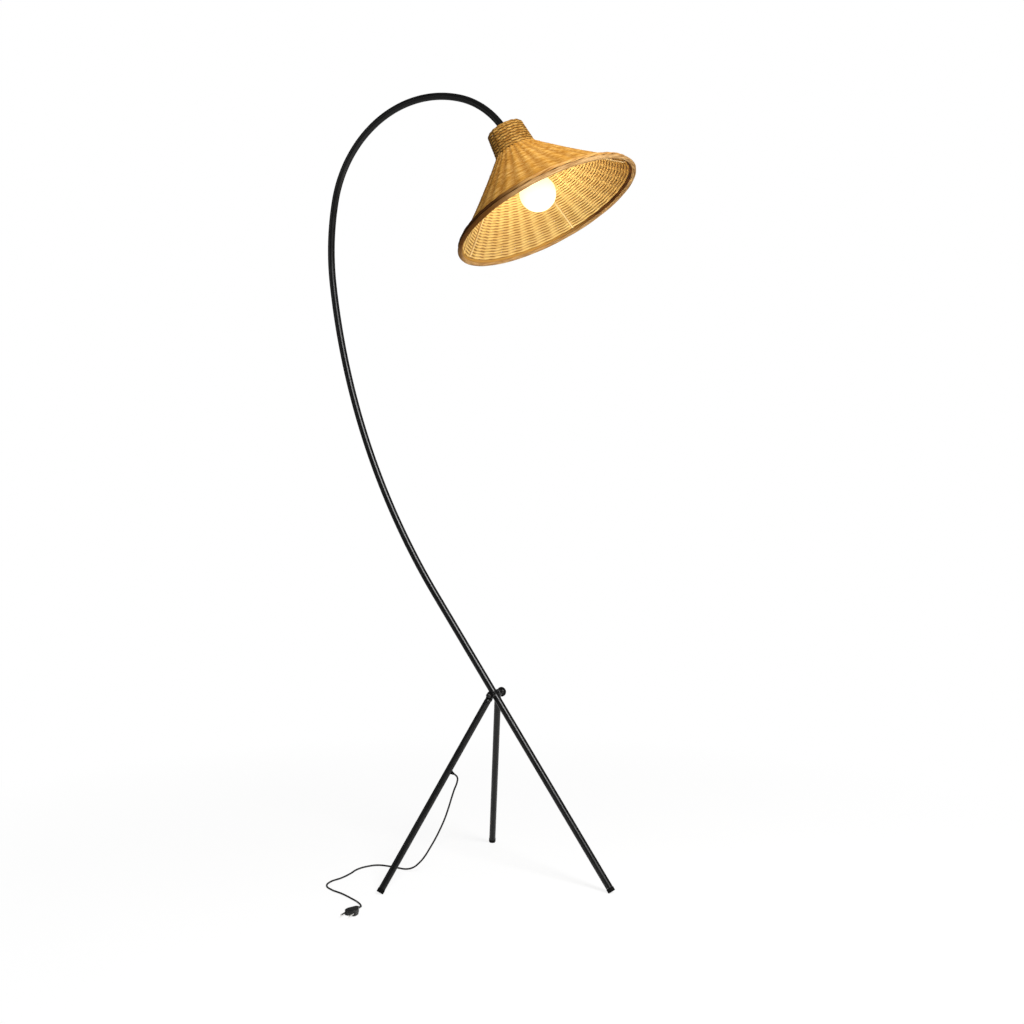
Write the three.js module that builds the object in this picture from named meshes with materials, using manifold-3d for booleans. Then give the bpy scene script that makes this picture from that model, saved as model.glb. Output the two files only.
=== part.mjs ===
// A tripod floor lamp: a long black tube is both the front leg and the arched pole, two more legs
// meet it at a cross stud, and a woven rattan bell shade hangs from the pole's end.
import * as THREE from 'three';
import { mergeVertices } from 'three/addons/utils/BufferGeometryUtils.js';
import Module from 'manifold-3d';

const wasm = await Module();
wasm.setup();

// Driving dimensions, in millimetres and degrees

// Stand: where the three leg axes meet the floor, seen from the cross stud above them
const HUB_HEIGHT = 415;
const FRONT_REACH = 296.4;
const REAR_REACH_BACK = 148.2;
const REAR_REACH_SIDE = 251;
const POLE_DIAMETER = 16;
const POLE_WALL = 1.5;
const LEG_DIAMETER = 15;
const LEG_WALL = 1.2;

// Pole: straight past the hub, then four bends and a short straight end inside the shade
const STRAIGHT_ABOVE_HUB = 267;
const SWEEP_RADIUS = 1550;
const SWEEP_TURN = 28.6;
const SHOULDER_RADIUS = 593;
const SHOULDER_TURN = 18.5;
const CROOK_RADIUS = 273;
const CROOK_TURN = 93.3;
const NECK_RADIUS = 203;
const POLE_END_STRAIGHT = 28;
const SHADE_TILT = 29.8;

// Shade: heights are measured along its own axis from the end of the pole
const SHADE_DROP = 169.5;
const RIM_DIAMETER = 430;
const BELL_TOP_DIAMETER = 94;
const BELL_TOP_DROP = 8.2;
const BELL_FLARE_SHARE = 0.1;
const WEAVE_THICKNESS = 2.4;
const STAKE_COUNT = 32;
const STAKE_RIDGE = 1.6;
const COLLAR_TOP_DIAMETER = 83.4;
const COLLAR_SHOULDER_RISE = 44;
const CROWN_RISE = 52;
const CROWN_HOLE_DIAMETER = 23;
const COLLAR_ROWS = 13;
const ROW_BULGE = 1.1;
const RIM_ROD_DIAMETER = 9.5;
const BAND_STRAND_DIAMETER = 5.6;
const BAND_STRANDS = 2;
const RIB_DIAMETER = 4;
const RIB_COUNT = 4;
const RIB_AZIMUTH = 11.25;

// Fits
const FIT_GAP = 0.3;
const CUT_OVERRUN = 3;
const CHORD_SAG = 0.5;

// Feet
const CAP_HEIGHT = 10;
const CAP_STAND_PROUD = 0.6;
const CAP_EDGE_ROUND = 1.5;
const CAP_SPIGOT_LENGTH = 14;
const SOLE_DEPTH = 1.8;

// Hub stack, from the pole outwards along the stud
const STUD_DIAMETER = 6;
const SADDLE_THICKNESS = 2.2;
const SADDLE_SKIRT = 5.3;
const SADDLE_DIAMETER = 15;
const FRICTION_WASHER_DIAMETER = 17;
const FRICTION_WASHER_THICKNESS = 1.2;
const EYE_DIAMETER = 18;
const EYE_THICKNESS = 7;
const TONGUE_WIDTH = 11;
const TONGUE_LENGTH = 12;
const KNUCKLE_NECK_START = 15.5;
const KNUCKLE_NECK_END = 21;
const KNUCKLE_SPIGOT_LENGTH = 20;
const STOP_POST_SIZE = 4;
const STOP_POST_START = 8;
const STOP_POST_WIDTH = 5;
const STOP_POST_REACH = 17;
const SMALL_WASHER_DIAMETER = 12;
const SMALL_WASHER_THICKNESS = 1.2;
const BALL_DIAMETER = 12;
const BALL_STANDOFF = 5.5;
const BALL_SEAT_DIAMETER = 9.6;
const BALL_HOLE_DEPTH = 8;
const KNOB_DIAMETER = 22;
const KNOB_NECK_DIAMETER = 10.6;
const KNOB_NECK_LENGTH = 5.5;
const KNOB_FLARE_LENGTH = 5;
const KNOB_RIM_THICKNESS = 1.5;
const KNOB_DOME_HEIGHT = 6;
const KNOB_HOLE_DEPTH = 12;

// Lead and its outlet in the left leg
const CABLE_DIAMETER = 4;
const OUTLET_DISTANCE = 193;
const OUTLET_HOLE_DIAMETER = 7;
const GROMMET_FLANGE_DIAMETER = 10;
const GROMMET_FLANGE_THICKNESS = 1.5;
const RELIEF_LENGTH = 7;
const RELIEF_BASE_DIAMETER = 7;
const RELIEF_TIP_DIAMETER = 5.6;
const PLUG_LENGTH = 36;
const PLUG_WIDTH = 26;
const PLUG_THICKNESS = 13;
const PLUG_NOSE_WIDTH = 9;
const PLUG_CORNER = 4;
const PLUG_EDGE_BEVEL = 2;
const PIN_DIAMETER = 4;
const PIN_LENGTH = 19;
const PIN_SPACING = 18.6;

// Lamp holder and bulb, on the shade's axis
const BUSH_WALL = 0.9;
const BUSH_LENGTH = 14;
const BUSH_FLANGE_THICKNESS = 2;
const NIPPLE_DIAMETER = 10;
const NIPPLE_WALL = 1.5;
const NIPPLE_LENGTH = 26;
const NIPPLE_RISE = 12;
const HOLDER_DIAMETER = 39;
const HOLDER_WALL = 2;
const HOLDER_CAP_LENGTH = 21;
const HOLDER_CAP_DOME = 11;
const HOLDER_CAP_TOP_DIAMETER = 18;
const HOLDER_BODY_LENGTH = 38;
const SOCKET_DIAMETER = 28.4;
const BLOCK_FLANGE_HEIGHT = 5;
const BLOCK_PLUG_LENGTH = 12;
const CONTACT_DIAMETER = 6;
const CONTACT_HEIGHT = 1.2;
const RING_DIAMETER = 54;
const UPPER_RING_HEIGHT = 5;
const LOWER_RING_HEIGHT = 7;
const FITTER_THICKNESS = 2;
const FITTER_DIAMETER = 50;
const SPOKE_WIDTH = 4;
const BULB_DIAMETER = 80;
const BULB_GLASS_WALL = 1.2;
const BULB_NECK_DIAMETER = 25;
const BULB_CENTRE_BELOW_TIP = 80;
const SCREW_CAP_DIAMETER = 26.4;
const SCREW_CAP_LENGTH = 22;
const SCREW_CAP_TAPER = 3;
const CAP_INSULATOR_HEIGHT = 2.5;
const BULB_TIP_DIAMETER = 9;

// Facets
const TUBE_SIDES = 12;
const BORE_SIDES = 10;
const TURNED_SIDES = 20;
const WASHER_SIDES = 16;
const SOFT_SIDES = 8;
const COLLAR_SIDES = 24;
const RIM_SIDES = 60;

// Worked out from the sizes above
const poleRadius = POLE_DIAMETER / 2;
const legRadius = LEG_DIAMETER / 2;
const studRadius = STUD_DIAMETER / 2;
const studHole = studRadius + FIT_GAP;
const cableRadius = CABLE_DIAMETER / 2;
const saddleFace = poleRadius + FIT_GAP + SADDLE_THICKNESS;
const frictionStart = saddleFace + FIT_GAP;
const eyeStart = frictionStart + FRICTION_WASHER_THICKNESS + FIT_GAP;
const eyeMiddle = eyeStart + EYE_THICKNESS / 2;
const smallWasherStart = eyeStart + EYE_THICKNESS + FIT_GAP;
const nutSeat = smallWasherStart + SMALL_WASHER_THICKNESS + FIT_GAP;

const UP = new THREE.Vector3(0, 0, 1);
const radians = THREE.MathUtils.degToRad;

// Materials
const blackSteel = new THREE.MeshStandardMaterial({ color: 0x17171a, roughness: 0.32, metalness: 0.6 });
const blackRubber = new THREE.MeshStandardMaterial({ color: 0x141414, roughness: 0.75, metalness: 0 });
const greyFibre = new THREE.MeshStandardMaterial({ color: 0x3a3a3c, roughness: 0.8, metalness: 0 });
const zincSteel = new THREE.MeshStandardMaterial({ color: 0x9a9ca0, roughness: 0.4, metalness: 0.9 });
const brass = new THREE.MeshStandardMaterial({ color: 0xb08d45, roughness: 0.35, metalness: 0.9 });
const blackCable = new THREE.MeshStandardMaterial({ color: 0x18181a, roughness: 0.55, metalness: 0 });
const blackPlastic = new THREE.MeshStandardMaterial({ color: 0x1b1b1d, roughness: 0.45, metalness: 0 });
const ceramic = new THREE.MeshStandardMaterial({ color: 0xe6e2d8, roughness: 0.4, metalness: 0 });
const rattan = new THREE.MeshStandardMaterial({ color: 0xc78f45, roughness: 0.6, metalness: 0 });
const rattanDark = new THREE.MeshStandardMaterial({ color: 0xb07a38, roughness: 0.55, metalness: 0 });
const caneWire = new THREE.MeshStandardMaterial({ color: 0xd9b070, roughness: 0.6, metalness: 0 });
const opalGlass = new THREE.MeshStandardMaterial({ color: 0xfff4d8, roughness: 0.25, metalness: 0 });
const nickel = new THREE.MeshStandardMaterial({ color: 0xbfc0c2, roughness: 0.3, metalness: 0.95 });

// Geometry helpers

// One closed body: corners shared, and triangles without area taken out
function closed(geometry) {
  const bare = geometry.clone();
  bare.deleteAttribute('normal');
  bare.deleteAttribute('uv');
  const merged = mergeVertices(bare);
  const corners = merged.index.array;
  const kept = [];
  for (let i = 0; i < corners.length; i += 3) {
    const [a, b, c] = [corners[i], corners[i + 1], corners[i + 2]];
    if (a !== b && b !== c && c !== a) {
      kept.push(a, b, c);
    }
  }
  merged.setIndex(kept);
  return merged;
}

function toSolid(geometry) {
  const mesh = closed(geometry);
  return new wasm.Manifold(new wasm.Mesh({
    numProp: 3,
    vertProperties: Float32Array.from(mesh.attributes.position.array),
    triVerts: Uint32Array.from(mesh.index.array),
  }));
}

function toGeometry(solid) {
  const mesh = solid.getMesh();
  const geometry = new THREE.BufferGeometry();
  geometry.setAttribute('position', new THREE.BufferAttribute(Float32Array.from(mesh.vertProperties), 3));
  geometry.setIndex(Array.from(mesh.triVerts));
  return geometry;
}

function join(first, ...others) {
  return toGeometry(others.reduce((whole, other) => whole.add(toSolid(other)), toSolid(first)));
}

function cut(first, ...tools) {
  return toGeometry(tools.reduce((whole, tool) => whole.subtract(toSolid(tool)), toSolid(first)));
}

// An outline of [radius, height] pairs, anticlockwise, turned about the Z axis
function revolve(outline, sides) {
  const points = outline.map(([radius, height]) => new THREE.Vector2(radius, height));
  return closed(new THREE.LatheGeometry(points, sides).rotateX(Math.PI / 2));
}

function rod(radius, low, high, sides = TURNED_SIDES) {
  return revolve([[0, low], [radius, low], [radius, high], [0, high]], sides);
}

function pipe(inner, outer, low, high, sides = TURNED_SIDES) {
  return revolve([[inner, low], [outer, low], [outer, high], [inner, high], [inner, low]], sides);
}

// Points of a circular arc in an outline, from one angle to another
function arcPoints(radius, centre, from, to, steps) {
  const points = [];
  for (let i = 0; i <= steps; i += 1) {
    const angle = radians(from + (to - from) * i / steps);
    points.push([centre[0] + radius * Math.cos(angle), centre[1] + radius * Math.sin(angle)]);
  }
  return points;
}

// Turns a shape made about the Z axis so that it points along a direction from a place
function aimed(geometry, place, direction) {
  const turn = new THREE.Quaternion().setFromUnitVectors(UP, direction);
  return geometry.clone().applyQuaternion(turn).translate(place.x, place.y, place.z);
}

function circle(radius, sides) {
  const points = [];
  for (let i = 0; i < sides; i += 1) {
    const angle = 2 * Math.PI * i / sides;
    points.push(new THREE.Vector2(radius * Math.cos(angle), radius * Math.sin(angle)));
  }
  return points;
}

// A centreline given as stations, so that a long straight run takes one step
class Centreline extends THREE.Curve {
  constructor(stations) {
    super();
    this.stations = stations;
  }

  station(share) {
    return this.stations[Math.round(share * (this.stations.length - 1))];
  }

  getPointAt(share) {
    return this.station(share).point.clone();
  }

  getTangentAt(share) {
    return this.station(share).tangent.clone();
  }
}

function sweep(shape, path, steps) {
  return closed(new THREE.ExtrudeGeometry(shape, { steps, extrudePath: path, bevelEnabled: false }));
}

function addPart(group, name, geometry, material) {
  const mesh = new THREE.Mesh(closed(geometry), material);
  mesh.name = name;
  group.add(mesh);
  return mesh;
}

// Pole

// Stations of the tube in the plane of the arch, from a distance below the hub to the far end
function poleStations(belowHub) {
  let heading = Math.atan2(HUB_HEIGHT, -FRONT_REACH);
  let x = -belowHub * Math.cos(heading);
  let z = HUB_HEIGHT - belowHub * Math.sin(heading);
  const stations = [];
  const mark = () => stations.push({
    point: new THREE.Vector3(x, 0, z),
    tangent: new THREE.Vector3(Math.cos(heading), 0, Math.sin(heading)),
  });
  const run = (length) => {
    x += length * Math.cos(heading);
    z += length * Math.sin(heading);
    mark();
  };
  const bend = (radius, turn) => {
    const steps = Math.ceil(turn / (2 * Math.acos(1 - CHORD_SAG / radius)));
    const step = turn / steps;
    for (let i = 0; i < steps; i += 1) {
      heading -= step / 2;
      x += 2 * radius * Math.sin(step / 2) * Math.cos(heading);
      z += 2 * radius * Math.sin(step / 2) * Math.sin(heading);
      heading -= step / 2;
      mark();
    }
  };
  const endHeading = radians(SHADE_TILT) - Math.PI / 2;
  mark();
  run(belowHub + STRAIGHT_ABOVE_HUB);
  bend(SWEEP_RADIUS, radians(SWEEP_TURN));
  bend(SHOULDER_RADIUS, radians(SHOULDER_TURN));
  bend(CROOK_RADIUS, radians(CROOK_TURN));
  bend(NECK_RADIUS, heading - endHeading);
  run(POLE_END_STRAIGHT);
  return stations;
}

const frontAxis = new THREE.Vector3(-FRONT_REACH, 0, HUB_HEIGHT).normalize();
const frontLength = Math.hypot(FRONT_REACH, HUB_HEIGHT);

// How far up its leg's axis a foot cap begins, so that its edge is cut flat by the floor
function capStart(tubeRadius, axis) {
  const radius = tubeRadius + CAP_STAND_PROUD;
  const lean = Math.hypot(axis.x, axis.y);
  return (radius * lean - SOLE_DEPTH) / axis.z;
}

function poleTube() {
  const start = capStart(poleRadius, frontAxis) + CAP_HEIGHT + FIT_GAP;
  const stations = poleStations(frontLength - start);
  const section = new THREE.Shape(circle(poleRadius, TUBE_SIDES));
  section.holes.push(new THREE.Path(circle(poleRadius - POLE_WALL, BORE_SIDES)));
  const tube = sweep(section, new Centreline(stations), stations.length - 1);
  const reach = poleRadius + CUT_OVERRUN;
  const hole = rod(studHole, -reach, reach, WASHER_SIDES).rotateX(Math.PI / 2);
  return cut(tube, hole.translate(0, 0, HUB_HEIGHT));
}

// The lead inside the pole lies on its centreline, from the stud to the lamp holder's block
function poleCable(lowerEnd, holderDrop) {
  const stations = poleStations(-lowerEnd);
  const end = stations[stations.length - 1];
  stations.push({ point: end.point.clone().addScaledVector(end.tangent, holderDrop), tangent: end.tangent });
  const section = new THREE.Shape(circle(cableRadius, SOFT_SIDES - 2));
  return sweep(section, new Centreline(stations), stations.length - 1);
}

// Legs and feet

// Made with the leg's axis upright, its floor point at the origin, and the floor cut through it
function footCap(tubeRadius, wall, axis) {
  const radius = tubeRadius + CAP_STAND_PROUD;
  const spigot = (tubeRadius - wall) * Math.cos(Math.PI / BORE_SIDES) - FIT_GAP;
  const start = capStart(tubeRadius, axis);
  const shoulder = start + CAP_HEIGHT;
  const body = revolve([
    [0, start],
    ...arcPoints(CAP_EDGE_ROUND, [radius - CAP_EDGE_ROUND, start + CAP_EDGE_ROUND], -90, 0, 3),
    [radius, shoulder],
    [spigot, shoulder],
    [spigot, shoulder + CAP_SPIGOT_LENGTH],
    [0, shoulder + CAP_SPIGOT_LENGTH],
  ], TURNED_SIDES);
  const size = 4 * radius;
  const floor = new THREE.BoxGeometry(size, size, size).translate(0, 0, -size / 2);
  const upright = new THREE.Quaternion().setFromUnitVectors(UP, axis).invert();
  return cut(body, floor.applyQuaternion(upright));
}

function addFootCap(group, name, place, axis, tubeRadius, wall) {
  const cap = addPart(group, name, footCap(tubeRadius, wall, axis), blackRubber);
  cap.position.copy(place);
  cap.quaternion.setFromUnitVectors(UP, axis);
}

// The eye turns on the stud, the tongue cranks out of its plane and the spigot fills the leg tube.
// Made in the hub's place, for the leg on the given side (-1 or 1 along Y).
function knuckle(side, axis) {
  const middle = new THREE.Vector3(0, side * eyeMiddle, 0);
  const down = axis.clone().negate();
  const flat = new THREE.Vector3(down.x, 0, down.z).normalize();
  const half = EYE_THICKNESS / 2;
  const across = new THREE.Vector3(0, 1, 0);
  const eye = aimed(rod(EYE_DIAMETER / 2, -half, half), middle, across);
  const tipPlace = middle.clone().addScaledVector(flat, TONGUE_LENGTH);
  const tip = aimed(rod(TONGUE_WIDTH / 2, -half, half), tipPlace, across);
  const bar = new THREE.BoxGeometry(TONGUE_WIDTH, EYE_THICKNESS, TONGUE_LENGTH).translate(0, 0, TONGUE_LENGTH / 2);
  const neckBall = revolve(arcPoints(legRadius, [0, KNUCKLE_NECK_START], 90, -90, 8).reverse(), TUBE_SIDES);
  const neck = rod(legRadius, KNUCKLE_NECK_START, KNUCKLE_NECK_END, TUBE_SIDES);
  const spigotRadius = (legRadius - LEG_WALL) * Math.cos(Math.PI / BORE_SIDES) - FIT_GAP;
  const spigotEnd = KNUCKLE_NECK_END + KNUCKLE_SPIGOT_LENGTH;
  const spigot = rod(spigotRadius, KNUCKLE_NECK_START, spigotEnd, TUBE_SIDES);
  const body = join(eye, tip, aimed(bar, middle, flat), ...[neckBall, neck, spigot]
    .map((piece) => aimed(piece, middle, down)));
  const reach = half + CUT_OVERRUN;
  return cut(body, aimed(rod(studHole, -reach, reach, WASHER_SIDES), middle, across));
}

// Hollow seat between the round pole and the flat washers, with the post that stops the leg
function saddle(side, legAxis) {
  const flat = new THREE.Vector3(-legAxis.x, 0, -legAxis.z).normalize();
  const back = new THREE.Vector3(flat.z, 0, -flat.x);
  const outward = new THREE.Vector3(0, side, 0);
  const origin = new THREE.Vector3();
  const disc = aimed(rod(SADDLE_DIAMETER / 2, saddleFace - SADDLE_SKIRT, saddleFace), origin, outward);
  const plateLow = poleRadius + FIT_GAP;
  const postStart = TONGUE_WIDTH / 2 + FIT_GAP;
  const postEnd = postStart + STOP_POST_SIZE;
  // Sizes along the tongue, across it towards the stop, and along the stud
  const block = (length, width, from, to, place, aside) => {
    const box = new THREE.BoxGeometry(width, to - from, length);
    const centre = new THREE.Vector3()
      .addScaledVector(flat, place)
      .addScaledVector(back, aside)
      .addScaledVector(outward, (from + to) / 2);
    return aimed(box, centre, flat);
  };
  const armLength = STOP_POST_START + STOP_POST_WIDTH;
  const arm = block(armLength, STOP_POST_SIZE, plateLow, saddleFace, armLength / 2, postEnd - STOP_POST_SIZE / 2);
  const postMiddle = STOP_POST_START + STOP_POST_WIDTH / 2;
  const post = block(STOP_POST_WIDTH, STOP_POST_SIZE, plateLow, STOP_POST_REACH, postMiddle,
    postStart + STOP_POST_SIZE / 2);
  const reach = EYE_DIAMETER;
  const poleSpace = aimed(rod(poleRadius + FIT_GAP, -reach, reach), origin, frontAxis);
  const studSpace = rod(studHole, -reach, reach, WASHER_SIDES).rotateX(Math.PI / 2);
  return cut(join(disc, arm, post), poleSpace, studSpace);
}

// The hub's own turned pieces

function ballNut() {
  const radius = BALL_DIAMETER / 2;
  const seat = BALL_SEAT_DIAMETER / 2;
  const start = -THREE.MathUtils.radToDeg(Math.acos(seat / radius));
  return revolve([
    [0, BALL_HOLE_DEPTH],
    [studHole, BALL_HOLE_DEPTH],
    [studHole, 0],
    [seat, 0],
    ...arcPoints(radius, [0, BALL_STANDOFF], start, 90, 8),
  ], TURNED_SIDES);
}

function hubKnob() {
  const rim = KNOB_DIAMETER / 2;
  const neck = KNOB_NECK_DIAMETER / 2;
  const rimStart = KNOB_NECK_LENGTH + KNOB_FLARE_LENGTH;
  const rimEnd = rimStart + KNOB_RIM_THICKNESS;
  const outline = [[0, KNOB_HOLE_DEPTH], [studHole, KNOB_HOLE_DEPTH], [studHole, 0], [neck, 0]];
  const flareSteps = 4;
  for (let i = 0; i <= flareSteps; i += 1) {
    const angle = Math.PI / 2 * i / flareSteps;
    outline.push([
      neck + (rim - neck) * (1 - Math.cos(angle)),
      KNOB_NECK_LENGTH + KNOB_FLARE_LENGTH * Math.sin(angle),
    ]);
  }
  const domeSteps = 5;
  for (let i = 0; i <= domeSteps; i += 1) {
    const angle = Math.PI / 2 * i / domeSteps;
    outline.push([rim * Math.cos(angle), rimEnd + KNOB_DOME_HEIGHT * Math.sin(angle)]);
  }
  return revolve(outline, TURNED_SIDES);
}

function addHub(lamp, legAxes) {
  const hub = new THREE.Group();
  hub.position.set(0, 0, HUB_HEIGHT);
  lamp.add(hub);
  const acrossTurn = (mesh, side) => mesh.quaternion.setFromUnitVectors(UP, new THREE.Vector3(0, side, 0));

  const sides = { left: -1, back: 1 };
  for (const [name, side] of Object.entries(sides)) {
    addPart(hub, `${name}_saddle`, saddle(side, legAxes[name]), blackSteel);
    addPart(hub, `${name}_knuckle`, knuckle(side, legAxes[name]), blackSteel);
    const frictionRing = pipe(studHole, FRICTION_WASHER_DIAMETER / 2, frictionStart,
      frictionStart + FRICTION_WASHER_THICKNESS, WASHER_SIDES);
    acrossTurn(addPart(hub, `${name}_friction_washer`, frictionRing, greyFibre), side);
    const smallRing = pipe(studHole, SMALL_WASHER_DIAMETER / 2, smallWasherStart,
      smallWasherStart + SMALL_WASHER_THICKNESS, WASHER_SIDES);
    acrossTurn(addPart(hub, `${name}_washer`, smallRing, blackSteel), side);
  }
  const nut = addPart(hub, 'ball_nut', ballNut(), blackSteel);
  nut.position.y = -nutSeat;
  acrossTurn(nut, -1);
  const knob = addPart(hub, 'hub_knob', hubKnob(), blackSteel);
  knob.position.y = nutSeat;
  acrossTurn(knob, 1);
  const stud = rod(studRadius, FIT_GAP - nutSeat - BALL_HOLE_DEPTH, nutSeat + KNOB_HOLE_DEPTH - FIT_GAP, WASHER_SIDES);
  acrossTurn(addPart(hub, 'hub_stud', stud, zincSteel), 1);
}

// Rear legs: each axis runs from the middle of its eye to its floor point

function rearLeg(side) {
  const eye = new THREE.Vector3(0, side * eyeMiddle, HUB_HEIGHT);
  const floor = new THREE.Vector3(-REAR_REACH_BACK, side * REAR_REACH_SIDE, 0);
  const axis = eye.clone().sub(floor);
  const length = axis.length();
  return { eye, floor, axis: axis.normalize(), length };
}

// The outlet looks inwards, to the upright line through the hub, square to the leg
function outletDirection(leg) {
  const place = leg.eye.clone().addScaledVector(leg.axis, -OUTLET_DISTANCE);
  const inward = new THREE.Vector3(-place.x, -place.y, 0).normalize();
  return inward.addScaledVector(leg.axis, -inward.dot(leg.axis)).normalize();
}

function legTube(leg, holeDirection) {
  const bore = legRadius - LEG_WALL;
  const low = capStart(legRadius, leg.axis) + CAP_HEIGHT + FIT_GAP;
  const high = leg.length - KNUCKLE_NECK_END - FIT_GAP;
  const tube = pipe(bore, legRadius, low, high, BORE_SIDES * 2);
  if (!holeDirection) {
    return tube;
  }
  const upright = new THREE.Quaternion().setFromUnitVectors(UP, leg.axis).invert();
  const direction = holeDirection.clone().applyQuaternion(upright);
  const place = new THREE.Vector3(0, 0, leg.length - OUTLET_DISTANCE);
  const drill = rod(OUTLET_HOLE_DIAMETER / 2, 0, legRadius + CUT_OVERRUN, WASHER_SIDES);
  return cut(tube, aimed(drill, place, direction));
}

// Rubber bush through the wall with a tapered sleeve outside, along Z from the leg's axis
function grommet() {
  const bodyRadius = OUTLET_HOLE_DIAMETER / 2 - FIT_GAP;
  const inner = cableRadius + FIT_GAP;
  const flangeStart = legRadius + FIT_GAP;
  const flangeEnd = flangeStart + GROMMET_FLANGE_THICKNESS;
  return revolve([
    [0, inner],
    [bodyRadius, inner],
    [bodyRadius, flangeStart],
    [GROMMET_FLANGE_DIAMETER / 2, flangeStart],
    [GROMMET_FLANGE_DIAMETER / 2, flangeEnd],
    [RELIEF_BASE_DIAMETER / 2, flangeEnd],
    [RELIEF_TIP_DIAMETER / 2, flangeEnd + RELIEF_LENGTH],
    [0, flangeEnd + RELIEF_LENGTH],
  ], TUBE_SIDES);
}

function addRearLegs(lamp) {
  const legs = { left: rearLeg(-1), back: rearLeg(1) };
  const outlet = outletDirection(legs.left);
  for (const [name, leg] of Object.entries(legs)) {
    const tube = addPart(lamp, `${name}_leg_tube`, legTube(leg, name === 'left' ? outlet : null), blackSteel);
    tube.position.copy(leg.floor);
    tube.quaternion.setFromUnitVectors(UP, leg.axis);
    addFootCap(lamp, `${name}_foot_cap`, leg.floor, leg.axis, legRadius, LEG_WALL);
  }
  const place = legs.left.eye.clone().addScaledVector(legs.left.axis, -OUTLET_DISTANCE);
  const bush = addPart(lamp, 'cord_grommet', grommet(), blackRubber);
  bush.position.copy(place);
  bush.quaternion.setFromUnitVectors(UP, outlet);

  const cableTop = KNUCKLE_NECK_END + KNUCKLE_SPIGOT_LENGTH + FIT_GAP;
  const cable = rod(cableRadius, cableTop, OUTLET_DISTANCE + GROMMET_FLANGE_DIAMETER / 2, SOFT_SIDES);
  const legCable = addPart(lamp, 'leg_cable', cable, blackCable);
  legCable.position.copy(legs.left.eye);
  legCable.quaternion.setFromUnitVectors(UP, legs.left.axis.clone().negate());

  addHub(lamp, { left: legs.left.axis, back: legs.back.axis });
  const tip = legRadius + FIT_GAP + GROMMET_FLANGE_THICKNESS + RELIEF_LENGTH + FIT_GAP;
  return { exit: place.addScaledVector(outlet, tip), direction: outlet };
}

// Shade, in a frame at the end of the pole with Z pointing back up the pole

// The bell ends square to its slope, a gap short of the rim rod
const rodRadius = RIM_ROD_DIAMETER / 2;
const rodCentre = [RIM_DIAMETER / 2 - rodRadius, rodRadius - SHADE_DROP];
const bellTop = -BELL_TOP_DROP - FIT_GAP;
const bellLean = Math.atan2(bellTop - rodCentre[1], (rodCentre[0] - BELL_TOP_DIAMETER / 2) * (1 + BELL_FLARE_SHARE));
const rodClearance = rodRadius + 2 * FIT_GAP;
const bellEdgeRadius = rodCentre[0] - Math.cos(bellLean) * rodClearance + Math.sin(bellLean) * WEAVE_THICKNESS / 2;
const bellBottom = rodCentre[1] + Math.sin(bellLean) * rodClearance + Math.cos(bellLean) * WEAVE_THICKNESS / 2;

// Outer radius of the bell at a share of its height, nought at the neck and one at the edge
function bellRadius(share) {
  const eased = share - BELL_FLARE_SHARE * share * (1 - share);
  return BELL_TOP_DIAMETER / 2 + (bellEdgeRadius - BELL_TOP_DIAMETER / 2) * eased;
}

function bellHeight(share) {
  return bellTop + (bellBottom - bellTop) * share;
}

// Direction out of the bell's outer face at a share of its height, as [radius, height]
function bellNormal(share) {
  const near = 0.01;
  const slopeRadius = bellRadius(share + near) - bellRadius(share - near);
  const slopeHeight = bellHeight(share + near) - bellHeight(share - near);
  const length = Math.hypot(slopeRadius, slopeHeight);
  return [-slopeHeight / length, slopeRadius / length];
}

// A point at a depth under the bell's outer face, square to it
function bellPoint(share, depth) {
  const [outward, upward] = bellNormal(share);
  return [bellRadius(share) - outward * depth, bellHeight(share) - upward * depth];
}

// The weave bulges over its stakes, so both faces have one ridge for each stake, which fades at the edge
const bellSteps = 8;

function wovenBell() {
  const innerSteps = bellSteps / 2;
  const outline = [];
  for (let i = bellSteps; i >= 0; i -= 1) {
    outline.push({ share: i / bellSteps, depth: 0, swell: STAKE_RIDGE });
  }
  for (let i = 0; i <= innerSteps; i += 1) {
    outline.push({ share: i / innerSteps, depth: WEAVE_THICKNESS, swell: -STAKE_RIDGE });
  }
  outline.push(outline[0]);
  const points = outline.map(({ share, depth }) => new THREE.Vector2(...bellPoint(share, depth)));
  const facetsPerStake = 2;
  const bell = new THREE.LatheGeometry(points, STAKE_COUNT * facetsPerStake);
  const place = bell.attributes.position;
  for (let i = 0; i < place.count; i += 1) {
    const { share, swell } = outline[i % points.length];
    const column = Math.floor(i / points.length);
    if (share < 1 && column % facetsPerStake === 1) {
      const [outward, upward] = bellNormal(share);
      const radius = Math.hypot(place.getX(i), place.getZ(i));
      const grown = (radius + swell * outward) / radius;
      place.setXYZ(i, place.getX(i) * grown, place.getY(i) + swell * upward, place.getZ(i) * grown);
    }
  }
  return bell.rotateX(Math.PI / 2);
}

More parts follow.
